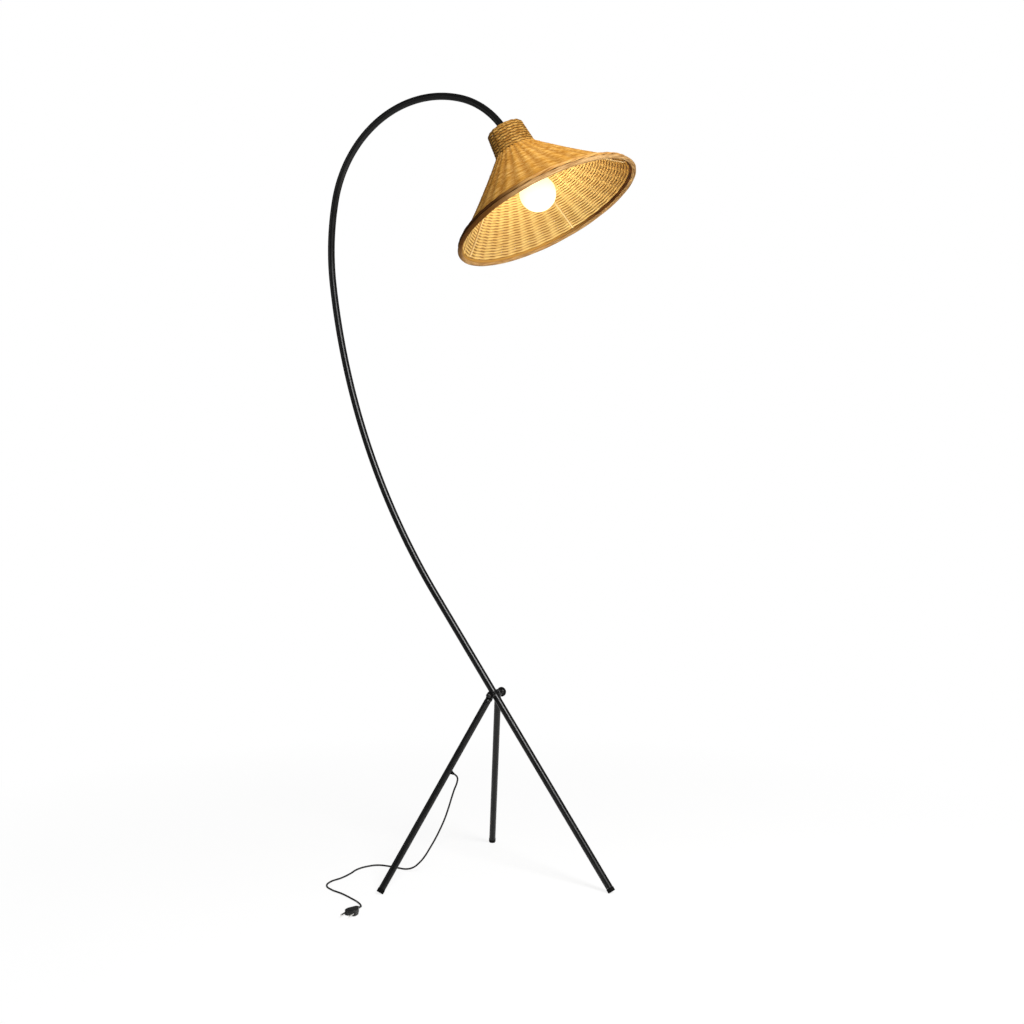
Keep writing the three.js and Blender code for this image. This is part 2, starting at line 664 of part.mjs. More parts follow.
// Ring rows up the side and over the rounded shoulder, with a hole in the crown for the pole
function wovenCollar() {
  const low = BELL_TOP_DIAMETER / 2;
  const top = COLLAR_TOP_DIAMETER / 2;
  const side = new THREE.LineCurve(new THREE.Vector2(low, -BELL_TOP_DROP), new THREE.Vector2(top, COLLAR_SHOULDER_RISE));
  const hole = CROWN_HOLE_DIAMETER / 2;
  const shoulder = new THREE.QuadraticBezierCurve(
    new THREE.Vector2(top, COLLAR_SHOULDER_RISE),
    new THREE.Vector2(top, CROWN_RISE),
    new THREE.Vector2(hole, CROWN_RISE),
  );
  const skin = new THREE.CurvePath();
  skin.add(side);
  skin.add(shoulder);
  const outerSteps = 2 * COLLAR_ROWS;
  const outline = [];
  for (let i = 0; i <= outerSteps; i += 1) {
    const share = i / outerSteps;
    const point = skin.getPointAt(share);
    const tangent = skin.getTangentAt(share);
    const bulge = i % 2 === 1 ? ROW_BULGE : 0;
    outline.push([point.x + tangent.y * bulge, point.y - tangent.x * bulge]);
  }
  const inside = 5;
  for (let i = inside; i >= 0; i -= 1) {
    const point = skin.getPointAt(i / inside);
    const tangent = skin.getTangentAt(i / inside);
    outline.push([point.x - tangent.y * WEAVE_THICKNESS, point.y + tangent.x * WEAVE_THICKNESS]);
  }
  outline.push(outline[0]);
  return revolve(outline, COLLAR_SIDES);
}

function rimRod() {
  return revolve(arcPoints(rodRadius, rodCentre, 0, 360, SOFT_SIDES), RIM_SIDES);
}

// Strands bound round the outside of the bell above the rim rod, as one lobed band
function borderBand() {
  const strand = BAND_STRAND_DIAMETER / 2;
  const slant = Math.hypot(bellEdgeRadius - BELL_TOP_DIAMETER / 2, bellTop - bellBottom);
  const outline = [];
  const edge = strand / slant;
  const shareOf = (index) => 1 - edge - index * 2 * edge;
  const last = BAND_STRANDS - 1;
  const ridgeUnderBand = STAKE_RIDGE * (last + 1) * 2 * edge * bellSteps;
  const standoff = ridgeUnderBand + FIT_GAP;
  for (let i = 0; i <= last; i += 1) {
    const [radius, height] = bellPoint(shareOf(i), -standoff - strand);
    const outward = 90 - THREE.MathUtils.radToDeg(bellLean);
    outline.push(...arcPoints(strand, [radius, height], outward - 75, outward + 75, 3));
  }
  outline.push(bellPoint(shareOf(last) - edge, -standoff));
  outline.push(bellPoint(shareOf(0) + edge, -standoff));
  outline.push(outline[0]);
  return revolve(outline, RIM_SIDES);
}

// A round frame wire under the bell, from inside the collar to the rim rod
function frameRib() {
  const radius = RIB_DIAMETER / 2;
  const depth = WEAVE_THICKNESS + FIT_GAP + radius;
  const steps = 6;
  const end = 1 - RIB_DIAMETER / (bellTop - bellBottom);
  const points = [];
  for (let i = 0; i <= steps; i += 1) {
    const [place, height] = bellPoint(end * i / steps, depth);
    points.push(new THREE.Vector3(place, 0, height));
  }
  return sweep(new THREE.Shape(circle(radius, SOFT_SIDES)), new THREE.CatmullRomCurve3(points), steps);
}

// Stack of the lamp holder, each piece starting below the last

const bushFlangeEnd = -FIT_GAP - BUSH_FLANGE_THICKNESS;
const holderTop = bushFlangeEnd - FIT_GAP;
const holderCapEnd = holderTop - HOLDER_CAP_LENGTH;
const holderBodyTop = holderCapEnd - FIT_GAP;
const holderBodyEnd = holderBodyTop - HOLDER_BODY_LENGTH;
const blockTop = holderCapEnd + BLOCK_FLANGE_HEIGHT;
const blockEnd = holderCapEnd - BLOCK_PLUG_LENGTH;
const contactEnd = blockEnd - FIT_GAP - CONTACT_HEIGHT;
const bulbTip = contactEnd - FIT_GAP;
const bulbCentre = bulbTip - BULB_CENTRE_BELOW_TIP;
const screwCapStart = bulbTip - CAP_INSULATOR_HEIGHT;
const screwCapEnd = screwCapStart - SCREW_CAP_LENGTH;
const upperRingStart = holderBodyTop - FIT_GAP;
const fitterStart = upperRingStart - UPPER_RING_HEIGHT - FIT_GAP;
const lowerRingStart = fitterStart - FITTER_THICKNESS - FIT_GAP;

function poleBush() {
  const outer = (poleRadius - POLE_WALL) * Math.cos(Math.PI / BORE_SIDES);
  const inner = NIPPLE_DIAMETER / 2 + FIT_GAP;
  const body = Math.min(outer - FIT_GAP, inner + BUSH_WALL);
  return revolve([
    [inner, bushFlangeEnd],
    [poleRadius, bushFlangeEnd],
    [poleRadius, -FIT_GAP],
    [body, -FIT_GAP],
    [body, BUSH_LENGTH],
    [inner, BUSH_LENGTH],
    [inner, bushFlangeEnd],
  ], TURNED_SIDES);
}

// Two nested half-domed skins with the nipple's hole at the top
function holderCap() {
  const outer = HOLDER_DIAMETER / 2;
  const top = HOLDER_CAP_TOP_DIAMETER / 2;
  const hole = NIPPLE_DIAMETER / 2 + FIT_GAP;
  const domeStart = holderTop - HOLDER_CAP_DOME;
  const steps = 4;
  const dome = (shrink) => {
    const points = [];
    for (let i = 0; i <= steps; i += 1) {
      const angle = Math.PI / 2 * i / steps;
      points.push([
        top - shrink + (outer - top) * Math.cos(angle),
        domeStart - shrink + HOLDER_CAP_DOME * Math.sin(angle),
      ]);
    }
    return points;
  };
  return revolve([
    [outer - HOLDER_WALL, holderCapEnd],
    [outer, holderCapEnd],
    ...dome(0),
    [hole, holderTop],
    [hole, holderTop - HOLDER_WALL],
    ...dome(HOLDER_WALL).reverse(),
    [outer - HOLDER_WALL, holderCapEnd],
  ], TURNED_SIDES);
}

function holderBlock() {
  const flange = HOLDER_DIAMETER / 2 - HOLDER_WALL - FIT_GAP;
  const plug = SOCKET_DIAMETER / 2 - FIT_GAP;
  return revolve([
    [0, blockEnd],
    [plug, blockEnd],
    [plug, holderCapEnd],
    [flange, holderCapEnd],
    [flange, blockTop],
    [0, blockTop],
  ], TURNED_SIDES);
}

// The wire frame's hub ring and its flat spokes, which end at the ribs
function shadeFitter() {
  const inner = HOLDER_DIAMETER / 2 + FIT_GAP;
  const low = fitterStart - FITTER_THICKNESS;
  const ring = pipe(inner, FITTER_DIAMETER / 2, low, fitterStart, TURNED_SIDES);
  const share = (fitterStart - bellTop) / (bellBottom - bellTop);
  const depth = WEAVE_THICKNESS + FIT_GAP + RIB_DIAMETER + FIT_GAP;
  const reach = bellRadius(share) - depth / bellNormal(share)[0];
  const start = (inner + FITTER_DIAMETER / 2) / 2;
  const spokes = [];
  for (let i = 0; i < RIB_COUNT; i += 1) {
    const spoke = new THREE.BoxGeometry(reach - start, SPOKE_WIDTH, FITTER_THICKNESS);
    spoke.translate((start + reach) / 2, 0, low + FITTER_THICKNESS / 2);
    spokes.push(spoke.rotateZ(radians(RIB_AZIMUTH) + 2 * Math.PI * i / RIB_COUNT));
  }
  return join(ring, ...spokes);
}

// A thin opal globe, open at its neck
function bulbGlass() {
  const outer = BULB_DIAMETER / 2;
  const inner = outer - BULB_GLASS_WALL;
  const neck = BULB_NECK_DIAMETER / 2;
  const neckTop = screwCapEnd - FIT_GAP;
  const centre = [0, bulbCentre];
  const top = THREE.MathUtils.radToDeg(Math.acos(neck * 1.5 / outer));
  const steps = 8;
  return revolve([
    ...arcPoints(outer, centre, -90, top, steps),
    [neck, neckTop],
    [neck - BULB_GLASS_WALL, neckTop],
    ...arcPoints(inner, centre, top, -90, steps),
  ], TURNED_SIDES);
}

function bulbScrewCap() {
  const outer = SCREW_CAP_DIAMETER / 2;
  return revolve([
    [0, screwCapEnd],
    [outer, screwCapEnd],
    [outer, screwCapStart - SCREW_CAP_TAPER],
    [BULB_TIP_DIAMETER, screwCapStart],
    [0, screwCapStart],
  ], TURNED_SIDES);
}

function addShade(lamp) {
  const end = poleStations(0).pop();
  const shade = new THREE.Group();
  shade.position.copy(end.point);
  shade.rotation.y = -radians(SHADE_TILT);
  lamp.add(shade);

  addPart(shade, 'pole_bush', poleBush(), zincSteel);
  const nippleRadius = NIPPLE_DIAMETER / 2;
  const nipple = pipe(nippleRadius - NIPPLE_WALL, nippleRadius, NIPPLE_RISE - NIPPLE_LENGTH, NIPPLE_RISE);
  addPart(shade, 'holder_nipple', nipple, zincSteel);
  addPart(shade, 'holder_cap', holderCap(), blackPlastic);
  addPart(shade, 'holder_block', holderBlock(), ceramic);
  addPart(shade, 'centre_contact', rod(CONTACT_DIAMETER / 2, contactEnd, blockEnd - FIT_GAP), brass);
  const body = pipe(SOCKET_DIAMETER / 2, HOLDER_DIAMETER / 2, holderBodyEnd, holderBodyTop);
  addPart(shade, 'holder_body', body, blackPlastic);
  const ringBore = HOLDER_DIAMETER / 2 + FIT_GAP;
  const ringRadius = RING_DIAMETER / 2;
  const upperRing = pipe(ringBore, ringRadius, upperRingStart - UPPER_RING_HEIGHT, upperRingStart);
  addPart(shade, 'upper_shade_ring', upperRing, blackPlastic);
  const lowerRing = pipe(ringBore, ringRadius, lowerRingStart - LOWER_RING_HEIGHT, lowerRingStart);
  addPart(shade, 'lower_shade_ring', lowerRing, blackPlastic);
  addPart(shade, 'shade_fitter', shadeFitter(), zincSteel);

  addPart(shade, 'woven_collar', wovenCollar(), rattan);
  addPart(shade, 'woven_bell', wovenBell(), rattan);
  addPart(shade, 'border_band', borderBand(), rattanDark);
  addPart(shade, 'rim_rod', rimRod(), rattanDark);
  for (let i = 0; i < RIB_COUNT; i += 1) {
    const rib = addPart(shade, `frame_rib_${i + 1}`, frameRib(), caneWire);
    rib.rotation.z = radians(RIB_AZIMUTH) + 2 * Math.PI * i / RIB_COUNT;
  }

  addPart(shade, 'bulb_glass', bulbGlass(), opalGlass);
  addPart(shade, 'bulb_screw_cap', bulbScrewCap(), nickel);
  addPart(shade, 'bulb_tip_contact', rod(BULB_TIP_DIAMETER / 2, screwCapStart + FIT_GAP, bulbTip), nickel);
}

// Mains lead, from the outlet in the left leg down to the floor and along it to its plug

// Chosen by hand: it hangs inside the stand, then lies in one loose S curve
const cordRoute = [
  [-52, -84, 224], [-65, -72, 197], [-84, -57, 165], [-104, -42, 131], [-126, -28, 95],
  [-149, -15, 59], [-171, -4, 29], [-186, -7, 11], [-201, -15, 3], [-218, -30, 2],
  [-236, -49, 2], [-260, -67, 2], [-281, -93, 2], [-289, -127, 2], [-286, -163, 2],
  [-290, -198, 2], [-294, -230, 2], [-282, -260, 2], [-253, -280, 2], [-216, -294, 2],
  [-179, -313, 2], [-149, -331, 2], [-128, -351, 3],
];
const plugPlace = { x: -118, y: -379, heading: -84 };

function addCord(lamp, outlet) {
  const points = [
    outlet.exit,
    outlet.exit.clone().addScaledVector(outlet.direction, 2 * CABLE_DIAMETER),
    ...cordRoute.map(([x, y, z]) => new THREE.Vector3(x, y, Math.max(z, cableRadius + FIT_GAP))),
  ];
  const heading = radians(plugPlace.heading);
  const along = new THREE.Vector3(Math.cos(heading), Math.sin(heading), 0);
  const plugBack = new THREE.Vector3(plugPlace.x, plugPlace.y, 0);
  const atNose = plugBack.clone().setZ(PLUG_THICKNESS / 2).addScaledVector(along, -FIT_GAP);
  points.push(atNose.clone().addScaledVector(along, -2 * CABLE_DIAMETER), atNose);
  const path = new THREE.CatmullRomCurve3(points);
  const steps = 78;
  addPart(lamp, 'mains_cord', sweep(new THREE.Shape(circle(cableRadius, SOFT_SIDES - 2)), path, steps), blackCable);

  const plug = new THREE.Group();
  plug.position.copy(plugBack);
  plug.rotation.z = heading;
  lamp.add(plug);
  addPart(plug, 'plug_body', plugBody(), blackPlastic);
  for (const [name, side] of [['plug_pin_left', 1], ['plug_pin_right', -1]]) {
    const pin = rod(PIN_DIAMETER / 2, 0, PIN_LENGTH, SOFT_SIDES + 4).rotateY(Math.PI / 2);
    addPart(plug, name, pin, nickel).position.set(PLUG_LENGTH + FIT_GAP, side * PIN_SPACING / 2, PLUG_THICKNESS / 2);
  }
}

// Flat moulded plug, lying on its side face, with its nose towards the cord
function plugBody() {
  const edge = PLUG_EDGE_BEVEL;
  const wide = PLUG_WIDTH / 2 - edge;
  const nose = PLUG_NOSE_WIDTH / 2 - edge;
  const face = PLUG_LENGTH - edge;
  const outline = new THREE.Shape();
  outline.moveTo(edge, -nose);
  outline.lineTo(face - PLUG_WIDTH / 2, -wide);
  outline.lineTo(face - PLUG_CORNER, -wide);
  outline.quadraticCurveTo(face, -wide, face, PLUG_CORNER - wide);
  outline.lineTo(face, wide - PLUG_CORNER);
  outline.quadraticCurveTo(face, wide, face - PLUG_CORNER, wide);
  outline.lineTo(face - PLUG_WIDTH / 2, wide);
  outline.lineTo(edge, nose);
  const body = new THREE.ExtrudeGeometry(outline, {
    depth: PLUG_THICKNESS - 2 * edge,
    bevelThickness: edge,
    bevelSize: edge,
    bevelSegments: 2,
    curveSegments: 4,
  });
  return body.translate(0, 0, edge);
}

// Assembly

function buildLamp() {
  const lamp = new THREE.Group();
  addPart(lamp, 'main_tube', poleTube(), blackSteel);
  const frontFloor = new THREE.Vector3(FRONT_REACH, 0, 0);
  addFootCap(lamp, 'front_foot_cap', frontFloor, frontAxis, poleRadius, POLE_WALL);
  const outlet = addRearLegs(lamp);
  addShade(lamp);
  addPart(lamp, 'pole_cable', poleCable(studRadius + FIT_GAP, -blockTop - FIT_GAP), blackCable);

  // The origin is on the floor under the middle of the lamp, without its lead
  lamp.updateMatrixWorld(true);
  const span = new THREE.Box3().setFromObject(lamp, true);
  addCord(lamp, outlet);
  lamp.position.x = -(span.min.x + span.max.x) / 2;
  lamp.position.y = -(span.min.y + span.max.y) / 2;
  return lamp;
}

const model = new THREE.Group();
model.add(buildLamp());

export default model;
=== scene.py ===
"""Tripod arc floor lamp with a woven rattan shade, in metres, Z up.

The camera comes first, then the helpers and the finishes, and after them the lead, the stand, the hub, the
lamp holder with its bulb, the woven shade and the studio.
"""
import math
import random

import bpy
from mathutils import Matrix, Vector
from mathutils.geometry import interpolate_bezier


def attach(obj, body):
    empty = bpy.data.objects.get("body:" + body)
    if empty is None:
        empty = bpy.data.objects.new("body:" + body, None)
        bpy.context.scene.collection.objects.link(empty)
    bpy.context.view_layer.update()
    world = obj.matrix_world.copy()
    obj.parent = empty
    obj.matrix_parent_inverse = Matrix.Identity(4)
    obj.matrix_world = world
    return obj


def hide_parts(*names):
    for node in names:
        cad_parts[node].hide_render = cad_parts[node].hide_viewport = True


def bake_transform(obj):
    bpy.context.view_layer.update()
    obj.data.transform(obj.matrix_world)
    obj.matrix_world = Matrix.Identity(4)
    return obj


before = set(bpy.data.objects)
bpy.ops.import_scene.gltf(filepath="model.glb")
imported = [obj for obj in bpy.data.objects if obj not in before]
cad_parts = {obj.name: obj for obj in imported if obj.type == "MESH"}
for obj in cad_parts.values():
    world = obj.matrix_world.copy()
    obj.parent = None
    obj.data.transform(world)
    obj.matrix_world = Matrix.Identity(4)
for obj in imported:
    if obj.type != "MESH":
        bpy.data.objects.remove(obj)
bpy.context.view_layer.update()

# The lamp's own sizes, in metres. The hub is where the three tubes meet. The rear legs stand REAR_BACK behind
# it and REAR_SIDE to either side, and their eyes sit beside the long tube.
MIDDLE_X = 0.0623897
HUB = Vector((MIDDLE_X, 0, 0.415))
FRONT_FLOOR = Vector((MIDDLE_X + 0.2964, 0, 0))
REAR_BACK = 0.1482
REAR_SIDE = 0.251
EYE_OFFSET = 0.0158
TUBE_RADIUS = 0.008
LEG_RADIUS = 0.0075
SHADE_TILT = math.radians(29.8)
SHADE_X = 0.1949
BULB_SPOT = (0.1714, 0.0, 1.5241)


# Camera

CAMERA_LENS = 60.02
CAMERA_SPOT = (1.8714 + MIDDLE_X, -3.3183, 1.0763)
CAMERA_LOOK = Vector((-0.48115, 0.87417, -0.06570))

camera = bpy.data.objects.new("camera", bpy.data.cameras.new("camera"))
bpy.context.scene.collection.objects.link(camera)
camera.data.lens = CAMERA_LENS
camera.data.sensor_width = 36
camera.data.clip_end = 40
camera.location = CAMERA_SPOT
camera.rotation_euler = CAMERA_LOOK.to_track_quat("-Z", "Y").to_euler()
bpy.context.scene.camera = camera


# Modelling helpers

def select_only(*pieces):
    bpy.ops.object.select_all(action="DESELECT")
    for piece in pieces:
        piece.select_set(True)
    bpy.context.view_layer.objects.active = pieces[0]


def named(name):
    """Gives the active piece and its mesh a name."""
    piece = bpy.context.object
    piece.name = name
    piece.data.name = name
    return piece


def settle(piece):
    """Bakes a piece's place and turn into its mesh, so that the object itself sits at the origin."""
    select_only(piece)
    bpy.ops.object.transform_apply(location=True, rotation=True, scale=True)
    return piece


def place(piece, spot, direction):
    """Takes an upright piece to a spot, with its own Z along a direction."""
    piece.rotation_euler = Vector((0, 0, 1)).rotation_difference(Vector(direction)).to_euler()
    piece.location = spot
    return settle(piece)


def smooth(piece, degrees=40):
    select_only(piece)
    bpy.ops.object.shade_smooth_by_angle(angle=math.radians(degrees))
    return piece


def outward(piece, merge=1e-6):
    """Merges doubled corners and turns all faces outwards."""
    select_only(piece)
    bpy.ops.object.mode_set(mode="EDIT")
    bpy.ops.mesh.select_all(action="SELECT")
    bpy.ops.mesh.remove_doubles(threshold=merge)
    bpy.ops.mesh.normals_make_consistent(inside=False)
    bpy.ops.object.mode_set(mode="OBJECT")
    return piece


def apply_modifier(piece, kind, **settings):
    select_only(piece)
    modifier = piece.modifiers.new(kind.lower(), kind)
    for key, value in settings.items():
        setattr(modifier, key, value)
    bpy.ops.object.modifier_apply(modifier=modifier.name)


def joined(name, parts):
    select_only(*parts)
    bpy.ops.object.join()
    return named(name)


def arc(radius, centre, start, end, steps, rise=None):
    """Points (radius, height) of an arc in an outline, its angles in degrees; a rise makes it an ellipse."""
    points = []
    for i in range(steps + 1):
        angle = math.radians(start + (end - start) * i / steps)
        points.append((centre[0] + radius * math.cos(angle), centre[1] + (rise or radius) * math.sin(angle)))
    return points


def turned(name, outline, sides=48):
    """A turned piece about Z, grown ring by ring through (radius, height) pairs."""
    radius, height = outline[0]
    bpy.ops.mesh.primitive_circle_add(vertices=sides, radius=radius, fill_type="NGON",
                                      location=(0, 0, height))
    piece = named(name)
    bpy.ops.object.mode_set(mode="EDIT")
    bpy.ops.mesh.select_all(action="SELECT")
    for next_radius, next_height in outline[1:]:
        bpy.ops.mesh.extrude_region_move(TRANSFORM_OT_translate={"value": (0, 0, next_height - height)})
        share = next_radius / radius
        bpy.ops.transform.resize(value=(share, share, 1), center_override=(0, 0, next_height))
        radius, height = next_radius, next_height
    bpy.ops.object.mode_set(mode="OBJECT")
    return smooth(settle(outward(piece)))


def bent_tube(name, radius, wall, start, heading, moves):
    """A tube in the plane of the arch, and where its middle line ends.

    Each move is ("run", length) or ("bend", radius, degrees, steps).
    """
    turn = (0, math.pi / 2 - heading, 0)
    bpy.ops.mesh.primitive_circle_add(vertices=40, radius=radius, location=start, rotation=turn)
    tube = settle(named(name))
    bpy.ops.object.mode_set(mode="EDIT")
    bpy.ops.mesh.select_all(action="SELECT")
    spot = Vector(start)
    for move in moves:
        if move[0] == "run":
            step = Vector((math.cos(heading), 0, math.sin(heading))) * move[1]
            bpy.ops.mesh.extrude_region_move(TRANSFORM_OT_translate={"value": step})
            spot += step
        else:
            bend_radius, degrees, steps = move[1:]
            centre = spot + Vector((math.sin(heading), 0, -math.cos(heading))) * bend_radius
            angle = math.radians(degrees)
            bpy.ops.mesh.spin(steps=steps, angle=angle, center=centre, axis=(0, -1, 0))
            spot = centre + Matrix.Rotation(angle, 3, "Y") @ (spot - centre)
            heading -= angle
    bpy.ops.object.mode_set(mode="OBJECT")
    outward(tube, 1e-5)
    apply_modifier(tube, "SOLIDIFY", thickness=wall, offset=-1)
    return smooth(tube), spot


def refined(node, name, edge):
    """A machined piece copied from its solid, with merged corners and softened edges."""
    piece = bpy.data.objects.new(name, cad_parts[node].data.copy())
    bpy.context.scene.collection.objects.link(piece)
    piece.data.name = name
    piece.data.materials.clear()
    select_only(piece)
    bpy.ops.object.mode_set(mode="EDIT")
    bpy.ops.mesh.select_all(action="SELECT")
    bpy.ops.mesh.remove_doubles(threshold=1e-6)
    bpy.ops.mesh.dissolve_limited(angle_limit=math.radians(0.5))
    bpy.ops.mesh.select_all(action="SELECT")
    bpy.ops.mesh.remove_doubles(threshold=2e-4)
    bpy.ops.object.mode_set(mode="OBJECT")
    apply_modifier(piece, "BEVEL", width=edge, segments=2, limit_method="ANGLE", angle_limit=math.radians(40))
    smooth(piece)
    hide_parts(node)
    return piece


# Finishes

# A stretch says how many spots of a pattern fit along a strand and round it, and a share how much the pattern
# has in the cane's colour. In metres are the depths, the glow's two distances from the bulb, and the band up
# the shade's axis in which the bulb's light changes. A matt cane's pair is its range of roughness.
GRAIN_DEPTH = 0.0004
FIBRE_DEPTH = 0.0003
TONE_STRETCH = (40, 1.2, 1)
FIBRE_STRETCH = (60, 14, 1)
TONE_SHARE = 0.62
FIBRE_SHARE = 0.45
GLOW_COLOUR = (1.0, 0.36, 0.05, 1)
GLOW_REACH = (0.10, 0.19)
MATT_REED = (0.72, 0.86)
MATT_CANE = (0.70, 0.84)
# The direction in which the rim and its border are painted in shade.
NEAR_LEFT = (-0.5, -0.866, 0)
BULB_BAND = (1.205, 1.265)


def new_finish(name):
    """A new material, its node tree and its main shader."""
    finish = bpy.data.materials.new(name)
    finish.use_nodes = True
    return finish, finish.node_tree, finish.node_tree.nodes["Principled BSDF"]


def set_inputs(tree, node, inputs):
    """Gives each input a value, or a link where the value is another node's output."""
    for key, value in inputs.items():
        if isinstance(value, bpy.types.NodeSocket):
            tree.links.new(value, node.inputs[key])
        else:
            node.inputs[key].default_value = value


def add_node(tree, kind, inputs=None, **settings):
    node = tree.nodes.new("ShaderNode" + kind)
    for key, value in settings.items():
        setattr(node, key, value)
    set_inputs(tree, node, inputs or {})
    return node


def object_place(tree):
    return add_node(tree, "TexCoord").outputs["Object"]


def calculated(tree, operation, *values):
    return add_node(tree, "Math", dict(enumerate(values)), operation=operation).outputs["Value"]


def measured(tree, operation, *vectors):
    return add_node(tree, "VectorMath", dict(enumerate(vectors)), operation=operation).outputs["Value"]


def noise(tree, source, scale, detail=4.0, rough=0.55):
    inputs = {"Vector": source, "Scale": scale, "Detail": detail, "Roughness": rough}
    return add_node(tree, "TexNoise", inputs).outputs["Fac"]


def ramp(tree, factor, *stops):
    """A colour ramp through (position, linear colour) stops."""
    node = add_node(tree, "ValToRGB", {"Fac": factor})
    elements = node.color_ramp.elements
    while len(elements) < len(stops):
        elements.new(0.5)
    for element, (position, colour) in zip(elements, stops):
        element.position = position
        element.color = (*colour, 1)
    return node.outputs["Color"]


def spread(tree, factor, low, high, start=0.3, end=0.7):
    """Maps a factor from the range start..end to low..high."""
    inputs = {"Value": factor, "From Min": start, "From Max": end, "To Min": low, "To Max": high}
    return add_node(tree, "MapRange", inputs).outputs["Result"]


def relief(tree, height, strength, distance):
    inputs = {"Height": height, "Strength": strength, "Distance": distance}
    return add_node(tree, "Bump", inputs).outputs["Normal"]


def along_direction(tree, direction, start, end, low=0.0, high=1.0):
    """A factor that goes from low to high between two distances along a direction."""
    return spread(tree, measured(tree, "DOT_PRODUCT", object_place(tree), direction), low, high, start, end)


def blended(tree, factor, first, second):
    """Mixes two colours, each one a socket or a linear colour, by a factor."""
    mix = add_node(tree, "Mix", {"Factor": factor}, data_type="RGBA")
    sockets = [entry.identifier for entry in mix.inputs]
    for socket, colour in (("A_Color", first), ("B_Color", second)):
        value = (*colour, 1) if isinstance(colour, tuple) else colour
        set_inputs(tree, mix, {sockets.index(socket): value})
    return next(entry for entry in mix.outputs if entry.identifier == "Result_Color")


def grey(level):
    return (level, level, level)


def plain_finish(name, dark, light, rough, metallic=0.0, grain=900.0, bump=0.05, mottle=60.0, spec=0.5):
    """A finish with a mottled colour, uneven gloss and a fine grain."""
    finish, tree, shader = new_finish(name)
    spot = object_place(tree)
    blotch = noise(tree, spot, mottle)
    set_inputs(tree, shader, {
        "Base Color": ramp(tree, blotch, (0.3, dark), (0.7, light)),
        "Roughness": spread(tree, blotch, *rough),
        "Metallic": metallic,
        "Specular IOR Level": spec,
        "Normal": relief(tree, noise(tree, spot, grain, 2.0), bump, GRAIN_DEPTH),
    })
    return finish


def reed_finish(name, dark, middle, light, rough=(0.42, 0.6), spec=0.3, gap_shade_colour=None, painted_inner_light=None, side=None,
                glow=0.0):
    """Split cane: long fibres that follow a strand's own length, in lighter and darker stretches.

    A gap shade colour is painted shade in the gaps of a weave, where its reeds meet. A painted inner light
    gives the weave's inner face painted light and shade: a paler dark and light colour at one X, where the
    bulb lights it, and a darker pair at a second X, where it lies in shade. A side is painted shading, a
    colour that the cane takes on between two distances along a direction: darker on the side that the light
    misses, lighter where a painted shadow ends. A glow is painted light: the bulb's light that comes through
    the cane, painted as the cane's own light near the bulb.
    """
    finish, tree, shader = new_finish(name)
    strand = add_node(tree, "TexCoord").outputs["UV"]
    mappings = (add_node(tree, "Mapping", {"Vector": strand, "Scale": stretch})
                for stretch in (TONE_STRETCH, FIBRE_STRETCH))
    tone, fibre = (noise(tree, mapping.outputs["Vector"], 1.0, 3.0) for mapping in mappings)
    stretches = spread(tree, tone, 0.0, TONE_SHARE, 0.25, 0.75)
    shade = calculated(tree, "MULTIPLY_ADD", fibre, FIBRE_SHARE, stretches)
    colour = ramp(tree, shade, (0.12, dark), (0.45, middle), (0.85, light))
    # Painted light and shade on the inner face: paler where the bulb lights it, darker towards the second X.
    if painted_inner_light:
        *pairs, first_x, second_x = painted_inner_light
        first, second = (ramp(tree, shade, (0.12, deep), (0.8, pale)) for deep, pale in pairs)
        inside = blended(tree, along_direction(tree, (1, 0, 0), first_x, second_x), first, second)
        inner = add_node(tree, "Attribute", attribute_name="inner").outputs["Fac"]
        colour = blended(tree, inner, colour, inside)
    # Painted shade in the weave's gaps, darker where a corner lies deeper in a gap.
    if gap_shade_colour:
        painted_gap_shade = add_node(tree, "Attribute", attribute_name="painted_gap_shade").outputs["Fac"]
        colour = blended(tree, calculated(tree, "POWER", painted_gap_shade, 2.0), colour, gap_shade_colour)
    # Painted shading: the colour changes along a direction, as the light on the cane changes.
    if side:
        painted_side_colour, direction, start, end = side
        colour = blended(tree, along_direction(tree, direction, start, end), colour, painted_side_colour)
    # Painted light: the cane near the bulb shines by itself, fading with the distance from the bulb.
    if glow:
        away = measured(tree, "DISTANCE", object_place(tree), BULB_SPOT)
        set_inputs(tree, shader, {
            "Emission Strength": spread(tree, away, glow, 0.0, *GLOW_REACH),
            "Emission Color": GLOW_COLOUR,
        })
    set_inputs(tree, shader, {
        "Base Color": colour,
        "Roughness": spread(tree, fibre, *rough),
        "Specular IOR Level": spec,
        "Normal": relief(tree, fibre, 0.25, FIBRE_DEPTH),
    })
    return finish


def opal_finish(shown, below, above):
    """A lit opal globe: warm white, a little dimmer towards its edge.

    The camera sees it at the strength shown. It lights the shade more from below its middle than from above.
    """
    finish, tree, shader = new_finish("lit_opal")
    facing = add_node(tree, "LayerWeight", {"Blend": 0.35}).outputs["Facing"]
    up_shade = (-math.sin(SHADE_TILT), 0, math.cos(SHADE_TILT))
    cast = along_direction(tree, up_shade, *BULB_BAND, below, above)
    to_camera = add_node(tree, "LightPath").outputs["Is Camera Ray"]
    milk = noise(tree, object_place(tree), 40.0)
    strength = add_node(tree, "Mix", {"Factor": to_camera, "A": cast, "B": shown}).outputs["Result"]
    set_inputs(tree, shader, {
        "Emission Color": ramp(tree, facing, (0.0, (1.0, 0.95, 0.78)), (0.9, (1.0, 0.86, 0.52))),
        "Emission Strength": strength,
        "Base Color": ramp(tree, milk, (0.3, (0.86, 0.82, 0.72)), (0.7, (0.93, 0.9, 0.82))),
        "Roughness": 0.25,
    })
    return finish


